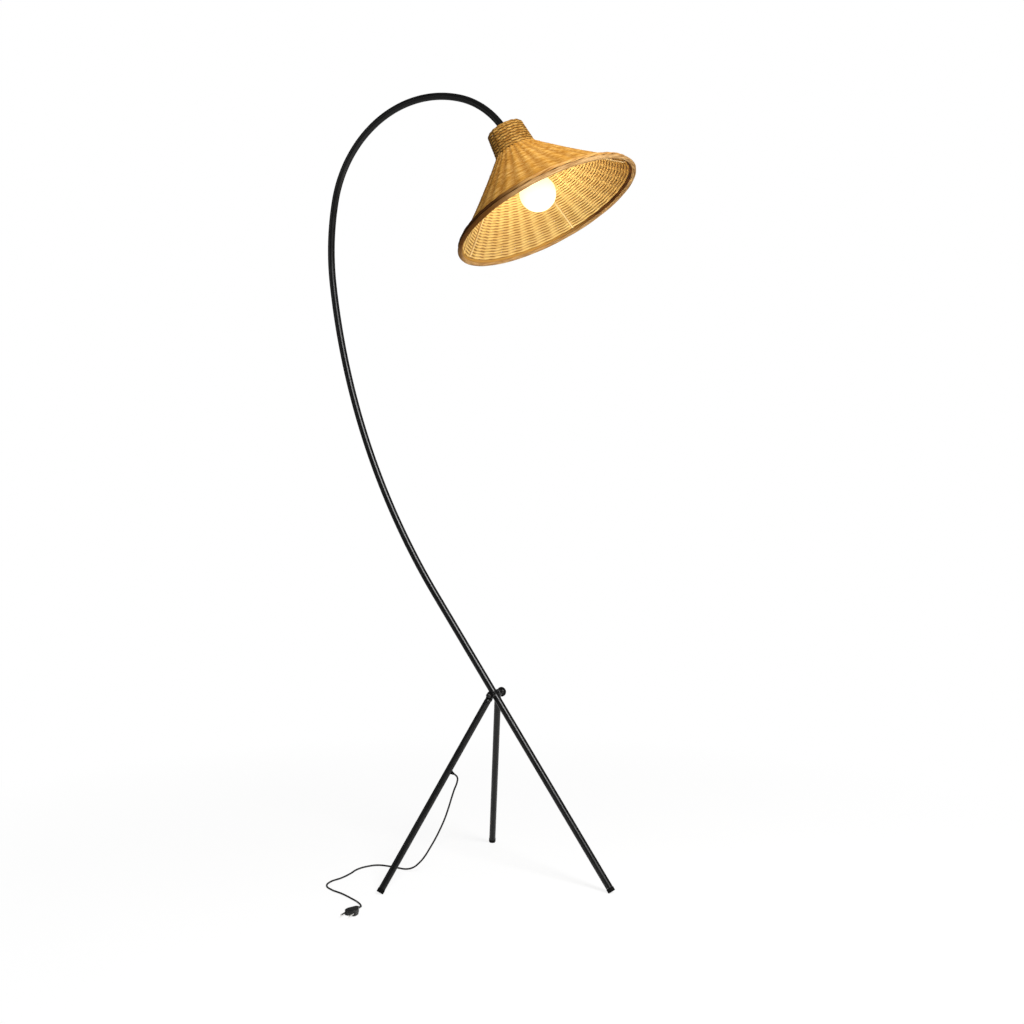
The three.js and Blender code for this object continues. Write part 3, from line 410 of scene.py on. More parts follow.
black_paint = plain_finish("black_paint", grey(0.002), grey(0.004), (0.26, 0.34), grain=300.0, bump=0.006,
                           mottle=25.0, spec=0.22)
black_rubber = plain_finish("black_rubber", grey(0.002), grey(0.004), (0.6, 0.8), bump=0.12, spec=0.06)
sheath = plain_finish("cable_sheath", grey(0.004), grey(0.009), (0.4, 0.52), bump=0.06, spec=0.2)
moulded = plain_finish("black_moulding", grey(0.006), grey(0.012), (0.32, 0.45), bump=0.08, spec=0.3)
fibre_board = plain_finish("grey_fibre", (0.04, 0.04, 0.042), (0.08, 0.08, 0.083), (0.65, 0.85), bump=0.3)
zinc = plain_finish("zinc_plate", (0.36, 0.37, 0.39), (0.55, 0.56, 0.58), (0.25, 0.45), metallic=1.0,
                    mottle=200.0)
nickel = plain_finish("nickel_plate", (0.55, 0.54, 0.52), (0.7, 0.69, 0.66), (0.15, 0.3), metallic=1.0,
                      mottle=120.0)
brass = plain_finish("plain_brass", (0.5, 0.34, 0.12), (0.66, 0.48, 0.2), (0.22, 0.4), metallic=1.0,
                     mottle=160.0)
porcelain = plain_finish("porcelain", (0.66, 0.64, 0.58), (0.78, 0.76, 0.7), (0.15, 0.3), bump=0.03)
# The bell's reed has painted shade in its gaps, painted light and shade on its inner face, and a painted glow
# near the bulb.
weaver_reed = reed_finish(
    "weaver_reed", (0.22, 0.074, 0.008), (0.50, 0.232, 0.034), (0.80, 0.48, 0.14), MATT_REED, spec=0.05,
    gap_shade_colour=(0.13, 0.038, 0.003), glow=0.05,
    painted_inner_light=(((0.44, 0.25, 0.06), (0.78, 0.55, 0.21)), ((0.15, 0.055, 0.007), (0.46, 0.225, 0.042)),
            SHADE_X + 0.005, SHADE_X + 0.165))
# The collar's reed has painted shade in its gaps.
collar_reed = reed_finish(
    "collar_reed", (0.105, 0.038, 0.005), (0.255, 0.114, 0.018), (0.55, 0.32, 0.085), MATT_REED, spec=0.05,
    gap_shade_colour=(0.022, 0.006, 0.001))
# The stakes are painted darker than the weavers, so that the gaps where they show read as painted shade.
stake_reed = reed_finish("stake_reed", (0.09, 0.034, 0.005), (0.18, 0.076, 0.012), (0.30, 0.14, 0.03))
# The border's strands are painted in shade towards the near left, the side that the key light misses.
border_reed = reed_finish(
    "border_reed", (0.15, 0.060, 0.012), (0.36, 0.175, 0.045), (0.60, 0.36, 0.12), MATT_CANE, spec=0.08,
    side=((0.050, 0.017, 0.003), NEAR_LEFT, 0.025, 0.090))
# The edge strand is painted nearly black as the shadow just inside the rim, and paler towards -X, where that
# painted shadow ends.
edge_shadow_reed = reed_finish(
    "edge_shadow_reed", (0.012, 0.004, 0.001), (0.040, 0.013, 0.002), (0.12, 0.045, 0.009), MATT_CANE, spec=0.08,
    side=((0.36, 0.19, 0.045), (-1, 0, 0), -SHADE_X - 0.02, -SHADE_X + 0.10))
# The rim is painted in shade towards the near left, the side that the key light misses.
rim_reed = reed_finish(
    "rim_reed", (0.13, 0.058, 0.015), (0.29, 0.160, 0.060), (0.51, 0.335, 0.15), MATT_CANE, spec=0.06,
    side=((0.12, 0.046, 0.009), NEAR_LEFT, 0.035, 0.100))
rib_reed = reed_finish("rib_reed", (0.52, 0.33, 0.11), (0.72, 0.51, 0.22), (0.86, 0.66, 0.36))
lit_opal = opal_finish(shown=0.85, below=26.0, above=5.4)


def dress(piece, finish, body):
    """Gives a new piece its finish and the body that it moves with."""
    piece.data.materials.clear()
    piece.data.materials.append(finish)
    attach(piece, body)


def paint_node(node, finish):
    """Gives a solid of the frame a finish and leaves it as it is otherwise."""
    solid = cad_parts[node]
    solid.data.materials.clear()
    solid.data.materials.append(finish)


# Lead: from the strain relief in the left leg to the floor, and along it to the plug

CORD_DIAMETER = 0.004
FLEX_STEPS = 8
OUTLET_DOWN_LEG = 0.193
SLEEVE_REACH = 0.0166
SLEEVE_STRAIGHT = 0.005
PLUG_BACK = Vector((MIDDLE_X - 0.118, -0.379, 0.0065))
PLUG_HEADING = math.radians(-84)
PLUG_STRAIGHT = (0.0083, 0.0003)


def leg_line(side):
    """A rear leg's point on the floor, its eye's middle and the direction up it; -1 is left and 1 is back."""
    floor_point = Vector((MIDDLE_X - REAR_BACK, side * REAR_SIDE, 0))
    eye = Vector((MIDDLE_X, side * EYE_OFFSET, HUB.z))
    return floor_point, eye, (eye - floor_point).normalized()


def swept_flex(name, stops, diameter):
    """A round flex through all stops, as a mesh, and the points of its middle line."""
    curve = bpy.data.curves.new(name, "CURVE")
    curve.dimensions = "3D"
    curve.bevel_depth = diameter / 2
    curve.bevel_resolution = 4
    curve.resolution_u = FLEX_STEPS
    curve.use_fill_caps = True
    points = curve.splines.new("BEZIER").bezier_points
    points.add(len(stops) - 1)
    for point, spot in zip(points, stops):
        point.co = spot
        point.handle_left_type = point.handle_right_type = "AUTO"
    piece = bpy.data.objects.new(name, curve)
    bpy.context.scene.collection.objects.link(piece)
    bpy.context.view_layer.update()
    middle = []
    for first, second in zip(points, points[1:]):
        bend = (first.co, first.handle_right, second.handle_left, second.co)
        middle += interpolate_bezier(*bend, FLEX_STEPS + 1)[:-1]
    middle.append(Vector(stops[-1]))
    select_only(piece)
    bpy.ops.object.convert(target="MESH")
    return smooth(outward(bpy.context.object)), middle


left_eye, left_axis = leg_line(-1)[1:]
outlet = left_eye - left_axis * OUTLET_DOWN_LEG
inward = Vector((MIDDLE_X - outlet.x, -outlet.y, 0)).normalized()
outlet_direction = (inward - left_axis * inward.dot(left_axis)).normalized()
cord_exit = outlet + outlet_direction * SLEEVE_REACH
plug_along = Vector((math.cos(PLUG_HEADING), math.sin(PLUG_HEADING), 0))

# Millimetres from the point on the floor under the hub
route_mm = [
    (-47.5, -84.3, 235), (-49.4, -82.3, 225.5), (-57, -83, 206), (-64, -82, 188), (-73, -81, 163),
    (-84, -80, 136), (-97, -78, 111), (-111, -76, 87), (-126, -74, 64), (-143, -72, 40), (-158, -70, 24),
    (-176, -67, 10.5), (-197, -64, 3.4), (-219, -62, 2.5), (-249, -60, 2.4), (-274, -65, 2.4),
    (-289, -86, 2.4), (-295, -115, 2.4), (-289, -155, 2.4), (-287, -194, 2.4), (-291, -228, 2.4),
    (-280, -260, 2.4), (-253, -280, 2.4), (-216, -294, 2.4), (-179, -313, 2.4), (-149, -331, 2.4),
    (-128, -351, 3),
]
route = [cord_exit, cord_exit + outlet_direction * SLEEVE_STRAIGHT]
route += [Vector((MIDDLE_X + x / 1000, y / 1000, z / 1000)) for x, y, z in route_mm]
route += [PLUG_BACK - plug_along * distance for distance in PLUG_STRAIGHT]

flex, flex_path = swept_flex("flex", route, CORD_DIAMETER)
flex.data.materials.append(sheath)
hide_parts("mains_cord")
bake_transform(flex)
paint_node("plug_body", moulded)
for node in ("plug_pin_left", "plug_pin_right"):
    paint_node(node, nickel)


# Stand: the long tube, the two rear legs and their feet

# Foot caps
CAP_WALL = 0.0006
CAP_LENGTH = 0.010
CAP_ROUND = 0.0015
CAP_FLAT = 0.002
CAP_UNDER_FLOOR = 0.0018
FLOOR_CLEARANCE = 0.00002

# The long tube: straight to TUBE_ABOVE_HUB, then three bends and a tighter one that tips the shade
TUBE_START = 0.0142
TUBE_WALL = 0.0015
TUBE_ABOVE_HUB = 0.267
BENDS = [("bend", 1.550, 28.6, 40), ("bend", 0.593, 18.5, 20), ("bend", 0.273, 93.3, 64)]
LAST_BEND = 0.203
LAST_RUN = 0.028

# The rear legs' tubes, from inside the cap to under the eye
LEG_IN_CAP = 0.0093
LEG_BELOW_EYE = 0.0213
LEG_CHAMFER = 0.0004


def cap_start(radius, axis):
    """Where a cap starts along its tube, so that its lowest corner is under the floor before the cut."""
    return (radius * math.hypot(axis.x, axis.y) - CAP_UNDER_FLOOR) / axis.z


def foot_cap(name, node, floor_point, axis, radius, body):
    """A short sleeve with a rounded lower edge, cut level where it stands on the floor."""
    start = cap_start(radius, axis)
    end = start + CAP_LENGTH
    outline = [(radius - CAP_ROUND - CAP_FLAT, start)]
    outline += arc(CAP_ROUND, (radius - CAP_ROUND, start + CAP_ROUND), -90, 0, 5)
    outline += [(radius, end - CAP_WALL), (radius - CAP_WALL, end), (radius - CAP_FLAT, end)]
    cap = place(turned(name, outline, 64), floor_point, axis)
    select_only(cap)
    bpy.ops.object.mode_set(mode="EDIT")
    bpy.ops.mesh.select_all(action="SELECT")
    bpy.ops.mesh.bisect(plane_co=(0, 0, FLOOR_CLEARANCE), plane_no=(0, 0, 1), use_fill=True, clear_inner=True,
                        threshold=1e-6)
    bpy.ops.object.mode_set(mode="OBJECT")
    smooth(cap)
    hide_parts(node)
    dress(cap, black_rubber, body)


front_line = HUB - FRONT_FLOOR
front_axis = front_line.normalized()
lower_heading = math.atan2(front_axis.z, front_axis.x)
last_turn = math.degrees(lower_heading - (SHADE_TILT - math.pi / 2)) - sum(bend[2] for bend in BENDS)
pole, pole_end = bent_tube(
    "pole", TUBE_RADIUS, TUBE_WALL, FRONT_FLOOR + front_axis * TUBE_START, lower_heading,
    [("run", front_line.length - TUBE_START + TUBE_ABOVE_HUB), *BENDS, ("bend", LAST_BEND, last_turn, 40),
     ("run", LAST_RUN)])
dress(pole, black_paint, "stand")
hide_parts("main_tube")
foot_cap("front_foot", "front_foot_cap", FRONT_FLOOR, front_axis, TUBE_RADIUS + CAP_WALL, "stand")

for side_name, side in (("left", -1), ("back", 1)):
    floor_point, eye, axis = leg_line(side)
    low = cap_start(LEG_RADIUS + CAP_WALL, axis) + LEG_IN_CAP
    high = (eye - floor_point).length - LEG_BELOW_EYE
    outline = [(LEG_RADIUS - LEG_CHAMFER, low), (LEG_RADIUS, low + LEG_CHAMFER),
               (LEG_RADIUS, high - LEG_CHAMFER), (LEG_RADIUS - LEG_CHAMFER, high)]
    leg = place(turned(f"{side_name}_leg", outline), floor_point, axis)
    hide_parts(f"{side_name}_leg_tube")
    dress(leg, black_paint, f"{side_name}_leg")
    foot_cap(f"{side_name}_foot", f"{side_name}_foot_cap", floor_point, axis, LEG_RADIUS + CAP_WALL,
             f"{side_name}_leg")
    dress(refined(f"{side_name}_knuckle", f"{side_name}_leg_eye", 0.0006), black_paint,
          f"{side_name}_leg")
    dress(refined(f"{side_name}_saddle", f"{side_name}_seat", 0.0003), black_paint, "stand")
    paint_node(f"{side_name}_friction_washer", fibre_board)
    paint_node(f"{side_name}_washer", black_paint)
paint_node("hub_stud", zinc)
paint_node("leg_cable", sheath)
paint_node("pole_cable", sheath)


# Hub: ball cap nut on the left, mushroom knob on the right, and the strain relief down the left leg

NUT_SEAT = 0.0211

nut_outline = [(0.0035, 0), (0.0048, 0.0001), *arc(0.006, (0, 0.0055), -36.9, 86, 16)]
nut = place(turned("ball_cap_nut", nut_outline), HUB + Vector((0, -NUT_SEAT, 0)), (0, -1, 0))
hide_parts("ball_nut")
dress(nut, black_paint, "stand")

knob_outline = [
    (0.0035, 0), (0.0050, 0.0), (0.0053, 0.0004), (0.0053, 0.0050),
    *arc(0.0057, (0.0110, 0.0055), 170, 90, 8, rise=0.005), (0.0110, 0.0112), (0.0110, 0.0119),
    *arc(0.011, (0, 0.012), 8, 88, 10, rise=0.006),
]
knob = place(turned("clamp_knob", knob_outline, 56), HUB + Vector((0, NUT_SEAT, 0)), (0, 1, 0))
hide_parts("hub_knob")
dress(knob, black_paint, "knob")

grommet_outline = [
    (0.0032, 0.002), (0.0032, 0.0078), (0.0046, 0.0078), (0.005, 0.0082), (0.005, 0.0089), (0.0046, 0.0093),
    (0.0036, 0.0094), (0.0035, 0.0108), (0.0031, 0.0109), (0.0031, 0.0115), (0.0034, 0.0116),
    (0.0033, 0.0130), (0.0029, 0.0131), (0.0029, 0.0137), (0.0032, 0.0138), (0.0030, 0.0155),
    (0.0027, 0.0163),
]
relief_sleeve = place(turned("strain_relief", grommet_outline, 32), outlet, outlet_direction)
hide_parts("cord_grommet")
dress(relief_sleeve, black_rubber, "left_leg")


# Lamp holder and bulb, in the shade's own frame: origin at the pole's end, Z back up the pole

BULB_CENTRE = -0.1174
BULB_RADIUS = 0.040

shade_place = Matrix.Translation(pole_end) @ Matrix.Rotation(-SHADE_TILT, 4, "Y")


def into_shade(piece):
    """Takes a piece made upright about the origin to its place under the pole's end."""
    piece.matrix_world = shade_place @ piece.matrix_world
    return settle(piece)


for node, name, finish, slot in (
        ("holder_cap", "holder_dome", moulded, "black_plastic"),
        ("holder_body", "holder_skirt", moulded, "black_plastic"),
        ("upper_shade_ring", "upper_ring", moulded, "black_plastic"),
        ("lower_shade_ring", "lower_ring", moulded, "black_plastic"),
        ("shade_fitter", "frame_centre", zinc, "zinc_steel"),
        ("holder_block", "holder_insert", porcelain, "ceramic")):
    dress(refined(node, name, 0.0004), finish, "stand")
for node, finish in (("pole_bush", zinc), ("holder_nipple", zinc), ("centre_contact", brass),
                     ("bulb_screw_cap", nickel), ("bulb_tip_contact", nickel)):
    paint_node(node, finish)

neck = [(0.0175, 0.0370), (0.0148, 0.0410), (0.0130, 0.0460), (0.0125, 0.0545), (0.0110, 0.0550)]
bulb_outline = [(0.003, BULB_CENTRE - 0.0399)]
bulb_outline += arc(BULB_RADIUS, (0, BULB_CENTRE), -84, 58, 26)
bulb_outline += [(radius, BULB_CENTRE + height) for radius, height in neck]
bulb = into_shade(turned("lit_globe", bulb_outline, 64))
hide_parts("bulb_glass")
dress(bulb, lit_opal, "stand")


# Woven shade, in the same frame. A share goes from 0 to 1 down the bell or up the collar, and a depth is the
# distance inwards from the wall's outer face.

STAKES = 32
BELL_ROWS = 35
COLLAR_ROWS = 13
WEAVE_END = 0.98

# The bell's wall, a little hollow between its neck and its edge, and the collar's wall with its shoulder
NECK_RADIUS = 0.047
NECK_HEIGHT = -0.0085
EDGE_RADIUS = 0.2070
EDGE_HEIGHT = -0.16033
BELL_HOLLOW = 0.1
COLLAR_FOOT, COLLAR_SHOULDER, COLLAR_CROWN = (0.047, -0.0082), (0.0417, 0.044), (0.0115, 0.052)
SHOULDER_LENGTH = 0.034
WALL_MIDDLE = 0.0012

# Stakes are flat slats, SLAT_SPREAD times as wide as thick at the bell's edge and narrower towards the neck
STAKE_HALF_THICK = 0.0006
STAKE_STEPS = 12
SLAT_SPREAD = 17
SLAT_NARROWEST = 0.03

# The rim is a hoop of canes. Two strands of three canes are bound above it, and one strand closes the edge.
RIM_RADIUS = 0.21025
RIM_HEIGHT = -0.16475
RIM_CANES = 7
CANE_THICK = 0.0034
CANE_OFFSET = 0.0031
RIM_TWISTS = 2
BORDER_STEP = 0.0127
BORDER_DEPTH = -0.00375
BORDER_CANES = 3
BORDER_THICK = 0.0030
BORDER_OFFSET = 0.0014
BORDER_TWISTS = 14
EDGE_SHARE = 0.9955
EDGE_DEPTH = WALL_MIDDLE + 0.0003
EDGE_THICK = 0.0070

# Ribs of the frame under the weave
RIB_RADIUS = 0.0018
RIB_DEPTH = 0.0047
RIB_END = 0.972
RIB_TURN = 11.25

# How uneven strands and canes are, in metres, and how many laps each next strand's map is moved on by
LOOSE_OUT = 0.00012
LOOSE_ALONG = 0.00007
RIM_WAVER = 0.00012
BORDER_WAVER = 0.0002
EDGE_WAVER = 0.0001
REED_STEP = 3.7
STAKE_STEP = 2.3
RING_STEP = 5.1

# A row's pair of reeds, in metres: how far each swings to either side of the stakes, how far it shifts along
# the wall where the two cross, half its thickness, and its half width where it crosses, outside and inside a
# stake. The edge and valley shares say how much painted shade darkens a reed's edges and the valley between
# two stakes.
BELL_WEAVE = {"swing": 0.0017, "shift": 0.00135, "thick": 0.00115, "cross": 0.00195, "outside": 0.0031,
              "inside": 0.0027, "pair": 1, "flute": True, "edge_shade": 0.5, "valley_shade": 0.72}
COLLAR_WEAVE = {"swing": 0.0011, "shift": 0.0008, "thick": 0.00125, "cross": 0.0021, "outside": 0.0029,
                "inside": 0.0026, "pair": 2, "flute": False, "edge_shade": 0.85, "valley_shade": 0.0}

# A reed's six corners as (share of half its thickness outwards, share of its half width down the wall)
SECTION = ((1.0, 0.0), (0.62, -1.0), (-0.35, -1.0), (-1.2, 0.0), (-0.35, 1.0), (0.62, 1.0))

random.seed(7)
flute_height = [random.uniform(0.5, 1.0) for _ in range(STAKES)]


def random_turns(count):
    return [random.uniform(0, 2 * math.pi) for _ in range(count)]


def sunk(spot, step, depth):
    """A point of an outline moved in by a depth, and the unit vector out of the outline there."""
    length = math.hypot(*step)
    out = (step[1] / length, -step[0] / length)
    return (spot[0] - out[0] * depth, spot[1] - out[1] * depth), out


def bell_skin(share, depth=WALL_MIDDLE):
    """(radius, height) on the bell's wall and the unit vector out of it, from neck to edge."""
    def outer(s):
        return NECK_RADIUS + (EDGE_RADIUS - NECK_RADIUS) * (s - BELL_HOLLOW * s * (1 - s))
    slope = (outer(share + 0.01) - outer(share - 0.01)) / 0.02
    fall = EDGE_HEIGHT - NECK_HEIGHT
    return sunk((outer(share), NECK_HEIGHT + fall * share), (-slope, -fall), depth)


def collar_skin(share, depth=WALL_MIDDLE):
    """The same on the collar's wall, from its foot over the rounded shoulder to the crown's hole."""
    wall = (COLLAR_SHOULDER[0] - COLLAR_FOOT[0], COLLAR_SHOULDER[1] - COLLAR_FOOT[1])
    wall_length = math.hypot(*wall)
    walked = share * (wall_length + SHOULDER_LENGTH)
    if walked < wall_length:
        t = walked / wall_length
        return sunk((COLLAR_FOOT[0] + wall[0] * t, COLLAR_FOOT[1] + wall[1] * t), wall, depth)
    t = min(1.0, (walked - wall_length) / SHOULDER_LENGTH)
    knee = (COLLAR_SHOULDER[0], COLLAR_CROWN[1])
    bend = list(zip(COLLAR_SHOULDER, knee, COLLAR_CROWN))
    spot = [(1 - t) ** 2 * a + 2 * t * (1 - t) * b + t * t * c for a, b, c in bend]
    step = [2 * (1 - t) * (b - a) + 2 * t * (c - b) for a, b, c in bend]
    return sunk(spot, step, depth)


def shift_map(piece, distance):
    """Moves a piece's map along the strand, so that no two strands show the same cane."""
    for loop in piece.data.uv_layers[0].data:
        loop.uv.x += distance


def twined_row(skin, share, weave, index, columns):
    """Two flat reeds twisted round the stakes: at each stake one passes outside and the other inside."""
    (radius, height), out = skin(share)
    down = (out[1], -out[0])
    stride = 2 * math.pi / STAKES * weave["pair"]
    strands = []
    for turn in (0.0, math.pi):
        bpy.ops.mesh.primitive_torus_add(major_segments=columns, minor_segments=len(SECTION),
                                         major_radius=radius, minor_radius=0.001, location=(0, 0, 0))
        strand = named("strand")
        waver = random_turns(4)
        depth_of_row = random.uniform(0.92, 1.08)
        painted_gap_shade = strand.data.attributes.new("painted_gap_shade", "FLOAT", "POINT")
        inner = strand.data.attributes.new("inner", "FLOAT", "POINT")
        for corner in strand.data.vertices:
            angle = math.atan2(corner.co.y, corner.co.x)
            distance = math.hypot(corner.co.x, corner.co.y)
            side = math.atan2(corner.co.z, distance - radius) * len(SECTION) / (2 * math.pi)
            across, along = SECTION[round(side) % len(SECTION)]
            phase = math.pi * (angle - stride / 2) / stride + turn
            near = math.cos(phase)
            crossing = math.sin(phase)
            swing = weave["swing"] * depth_of_row * near
            if weave["flute"] and near > 0:
                swing *= flute_height[int(angle / (2 * math.pi / STAKES)) % STAKES]
            full = weave["outside"] if near > 0 else weave["inside"]
            half_width = weave["cross"] + near * near * (full - weave["cross"])
            loose = LOOSE_OUT * (math.sin(3 * angle + waver[0]) + math.sin(11 * angle + waver[1]))
            loose_along = LOOSE_ALONG * (math.sin(5 * angle + waver[2]) + math.sin(17 * angle + waver[3]))
            outwards = swing + loose + across * weave["thick"]
            shift = weave["shift"] * crossing + loose_along + along * half_width
            grown = radius + outwards * out[0] + shift * down[0]
            corner.co = (grown * math.cos(angle), grown * math.sin(angle),
                         height + outwards * out[1] + shift * down[1])
            # Painted shade for each corner: at a reed's edges, where it meets the next row or its partner,
            # and in the valley between two stakes on the outer face.
            if across > 0:
                gap = max(abs(along) * weave["edge_shade"], weave["valley_shade"] * abs(crossing))
            else:
                gap = abs(along) * (1.0 if along * crossing > 0 else near * near)
            painted_gap_shade.data[corner.index].value = gap
            inner.data[corner.index].value = 1.0 if across < 0 else 0.0
        shift_map(strand, index * REED_STEP + turn)
        strands.append(strand)
    return strands


def woven(name, skin, end, weave, rows, columns, first_index):
    """Rows of twining up to a share of a wall, in one piece."""
    strands = []
    for row in range(rows):
        strands += twined_row(skin, end * (row + 0.5) / rows, weave, first_index + row, columns)
    return smooth(into_shade(joined(name, strands)), 50)


def rod_along(name, line, radius, sides, widths=None):
    """A rod through (radius, height) points in the XZ plane, grown ring by ring, with a map along its length.

    Widths spread each ring sideways by its own share, which makes the rod a flat slat.
    """
    points = [Vector((x, 0, z)) for x, z in line]
    turn = Vector((0, 0, 1)).rotation_difference(points[1] - points[0]).to_euler()
    bpy.ops.mesh.primitive_circle_add(vertices=sides, radius=radius, fill_type="NGON", location=points[0],
                                      rotation=turn)
    rod = settle(named(name))
    bpy.ops.object.mode_set(mode="EDIT")
    bpy.ops.mesh.select_all(action="SELECT")
    if widths:
        bpy.ops.transform.resize(value=(1, widths[0], 1), center_override=points[0])
    for number, (before, spot) in enumerate(zip(points, points[1:])):
        bpy.ops.mesh.extrude_region_move(TRANSFORM_OT_translate={"value": spot - before})
        if widths:
            share = widths[number + 1] / widths[number]
            bpy.ops.transform.resize(value=(1, share, 1), center_override=spot)
    bpy.ops.object.mode_set(mode="OBJECT")
    outward(rod)
    layer = rod.data.uv_layers.new(name="UVMap")
    span = points[-1] - points[0]
    for loop in rod.data.loops:
        corner = rod.data.vertices[loop.vertex_index].co
        share = (corner - points[0]).dot(span) / span.length_squared
        layer.data[loop.index].uv = (share * 0.3, corner.y / radius * 0.5)
    return rod


def fan(name, rod, turns):
    """Copies of a rod about the shade's axis, each with its own mesh, joined into one piece."""
    copies = []
    for number, angle in enumerate(turns):
        copy = rod.copy()
        copy.data = rod.data.copy()
        bpy.context.scene.collection.objects.link(copy)
        copy.rotation_euler = (0, 0, angle)
        shift_map(copy, number * STAKE_STEP)
        copies.append(settle(copy))
    bpy.data.objects.remove(rod)
    return joined(name, copies)


def ring(name, radius, height, thick, index, waver, segments=180, sides=12, lay=(0, 0, 0)):
    """A round rod bent into a ring about the shade's axis, a little uneven.

    A lay (offset, start, twists) winds the rod round the ring's own middle line.
    """
    offset, start, twists = lay
    bpy.ops.mesh.primitive_torus_add(major_segments=segments, minor_segments=sides, major_radius=radius,
                                     minor_radius=thick / 2, location=(0, 0, height))
    rod = settle(named(name))
    shift = random_turns(3)
    for corner in rod.data.vertices:
        angle = math.atan2(corner.co.y, corner.co.x)
        wound = start + twists * angle
        wave = waver * (math.sin(7 * angle + shift[0]) + 0.6 * math.sin(19 * angle + shift[1]))
        grown = 1 + (wave + offset * math.cos(wound)) / radius
        corner.co.x *= grown
        corner.co.y *= grown
        corner.co.z += 0.7 * waver * math.sin(11 * angle + shift[2]) + offset * math.sin(wound)
    shift_map(rod, index * RING_STEP)
    return rod


def bundle(name, radius, height, count, thick, offset, twists, first_index, waver, segments=180):
    """Canes laid round one middle line, each on its own place in the bundle."""
    return [ring(f"{name}_{number}", radius, height, thick, first_index + number, waver, segments, sides=8,
                 lay=(offset, 2 * math.pi * number / count, twists)) for number in range(count)]


bell = woven("bell_weave", bell_skin, WEAVE_END, BELL_WEAVE, BELL_ROWS, 6 * STAKES, first_index=0)
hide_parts("woven_bell")
dress(bell, weaver_reed, "stand")

collar = woven("collar_weave", collar_skin, 1.0, COLLAR_WEAVE, COLLAR_ROWS, 4 * STAKES, first_index=40)
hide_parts("woven_collar")
dress(collar, collar_reed, "stand")

stake_line = [bell_skin(1 - i / STAKE_STEPS)[0] for i in range(STAKE_STEPS + 1)]
stake_line += [collar_skin(i / STAKE_STEPS)[0] for i in range(1, STAKE_STEPS - 2)]
slat_widths = [SLAT_SPREAD * max(x, SLAT_NARROWEST) / EDGE_RADIUS for x, z in stake_line]
stake = rod_along("stake", stake_line, STAKE_HALF_THICK, 6, slat_widths)
turns = [(i + 0.5) * 2 * math.pi / STAKES for i in range(STAKES)]
stakes = smooth(into_shade(fan("shade_stakes", stake, turns)), 60)
dress(stakes, stake_reed, "stand")

canes = bundle("cane", RIM_RADIUS, RIM_HEIGHT, RIM_CANES, CANE_THICK, CANE_OFFSET, RIM_TWISTS,
               first_index=0, waver=RIM_WAVER)
rim = smooth(into_shade(joined("rim_hoop", canes)), 80)
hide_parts("rim_rod")
dress(rim, rim_reed, "stand")

strands = []
for number in range(2):
    radius, height = bell_skin(1 - BORDER_STEP * (1 + 2 * number), BORDER_DEPTH)[0]
    strands += bundle(f"border_{number}", radius, height, BORDER_CANES, BORDER_THICK, BORDER_OFFSET,
                      BORDER_TWISTS, first_index=9 + BORDER_CANES * number, waver=BORDER_WAVER, segments=240)
border = smooth(into_shade(joined("border_strands", strands)), 80)
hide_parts("border_band")
dress(border, border_reed, "stand")

# The strand that closes the edge carries the painted shadow inside the rim.
radius, height = bell_skin(EDGE_SHARE, EDGE_DEPTH)[0]
edge_ring = ring("edge_strand", radius, height, EDGE_THICK, index=20, waver=EDGE_WAVER)
edge = smooth(into_shade(edge_ring), 80)
dress(edge, edge_shadow_reed, "stand")

rib_line = [bell_skin(i / 10 * RIB_END, RIB_DEPTH)[0] for i in range(11)]
for number in range(4):
    rib = rod_along(f"cane_rib_{number + 1}", rib_line, RIB_RADIUS, 12)
    rib.rotation_euler = (0, 0, math.radians(RIB_TURN + 90 * number))
    smooth(into_shade(settle(rib)), 60)
    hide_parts(f"frame_rib_{number + 1}")
    dress(rib, rib_reed, "stand")


# Studio: a pale floor and soft light. The floor goes from one whiteness to the other between two distances in
# metres. The sky is white to the camera, and SKY_LIGHT is how much it lights the lamp.

FLOOR_WHITE = (0.86, 1.0)
FLOOR_FADE = (0.4, 1.6)
SKY_LIGHT = 0.12


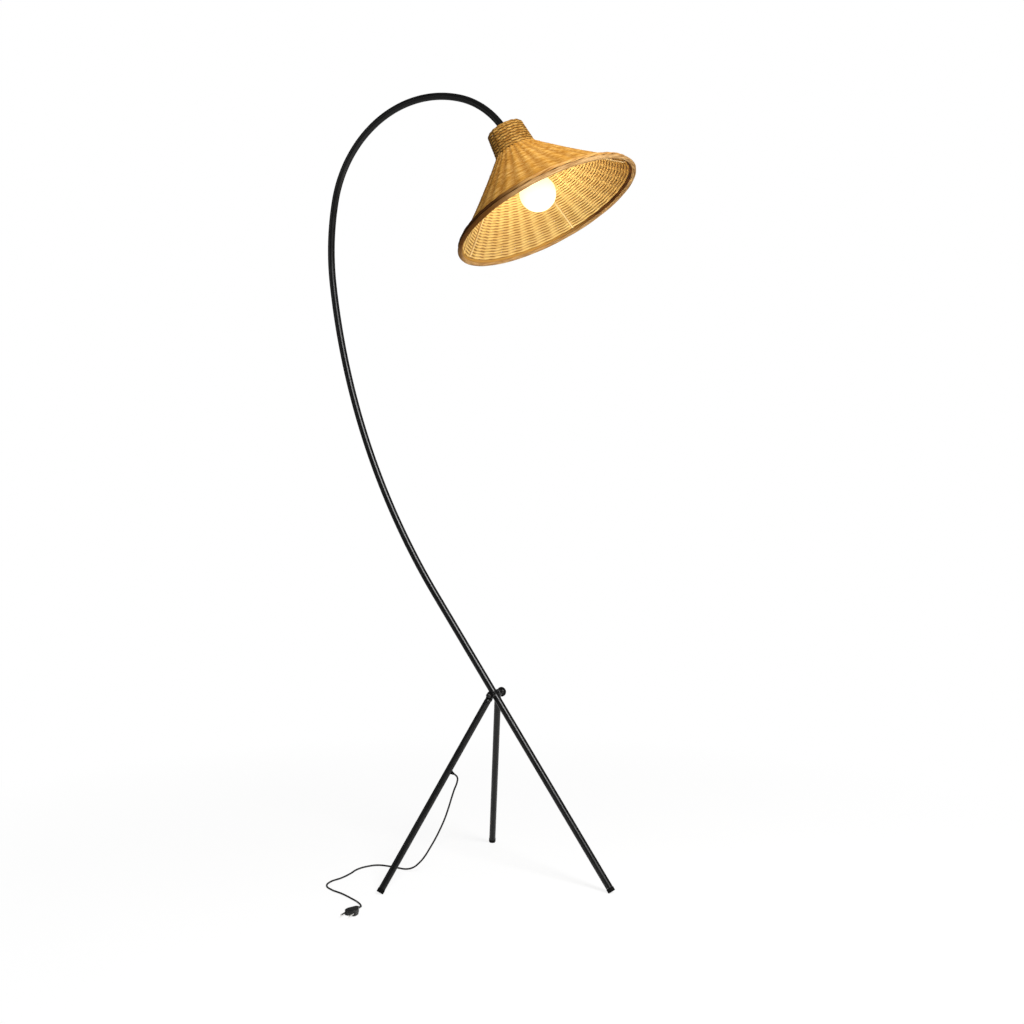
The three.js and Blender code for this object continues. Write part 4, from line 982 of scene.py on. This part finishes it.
def floor_finish():
    """A pale floor that keeps the soft shadow and fades to white in the distance."""
    finish, tree, shader = new_finish("studio_floor")
    cloud = noise(tree, object_place(tree), 3.0)
    set_inputs(tree, shader, {
        "Base Color": ramp(tree, cloud, (0.3, grey(0.93)), (0.7, grey(0.95))),
        "Roughness": 0.9,
        "Specular IOR Level": 0.1,
    })
    white = add_node(tree, "Emission", {"Strength": 1.0})
    fade = spread(tree, measured(tree, "LENGTH", object_place(tree)), *FLOOR_WHITE, *FLOOR_FADE)
    seen = calculated(tree, "MULTIPLY", fade, add_node(tree, "LightPath").outputs["Is Camera Ray"])
    mix = add_node(tree, "MixShader", {"Fac": seen, 1: shader.outputs["BSDF"], 2: white.outputs["Emission"]})
    set_inputs(tree, tree.nodes["Material Output"], {"Surface": mix.outputs["Shader"]})
    return finish


def softbox(name, spot, aim, size, power, colour=(1, 1, 1)):
    lamp = bpy.data.lights.new(name, "AREA")
    lamp.shape = "RECTANGLE"
    lamp.size, lamp.size_y = size
    lamp.energy = power
    lamp.color = colour
    box = bpy.data.objects.new(name, lamp)
    bpy.context.scene.collection.objects.link(box)
    box.location = spot
    box.rotation_euler = (Vector(aim) - Vector(spot)).to_track_quat("-Z", "Y").to_euler()


bpy.ops.mesh.primitive_plane_add(size=30, location=(0, 0, -0.0005))
floor = settle(named("studio_floor_plane"))
floor.data.materials.append(floor_finish())

world = bpy.data.worlds.new("studio")
bpy.context.scene.world = world
world.use_nodes = True
sky = world.node_tree
rays = add_node(sky, "LightPath").outputs
seen = calculated(sky, "MAXIMUM", rays["Is Camera Ray"], rays["Is Transmission Ray"])
set_inputs(sky, sky.nodes["Background"], {
    "Color": (1, 1, 1, 1),
    "Strength": spread(sky, seen, SKY_LIGHT, 1.0, 0.0, 1.0),
})

softbox("key", (2.5, -1.75, 3.0), (0.1, 0, 1.0), (1.2, 1.2), 232)
softbox("low_bounce", (2.1, 0.7, 0.35), (SHADE_X, 0, 1.1), (1.0, 1.0), 22, (1.0, 0.93, 0.80))
softbox("fill", (-2.4, -2.4, 1.8), (0, 0, 0.9), (1.6, 1.6), 10)

bpy.context.scene.view_settings.view_transform = "Standard"
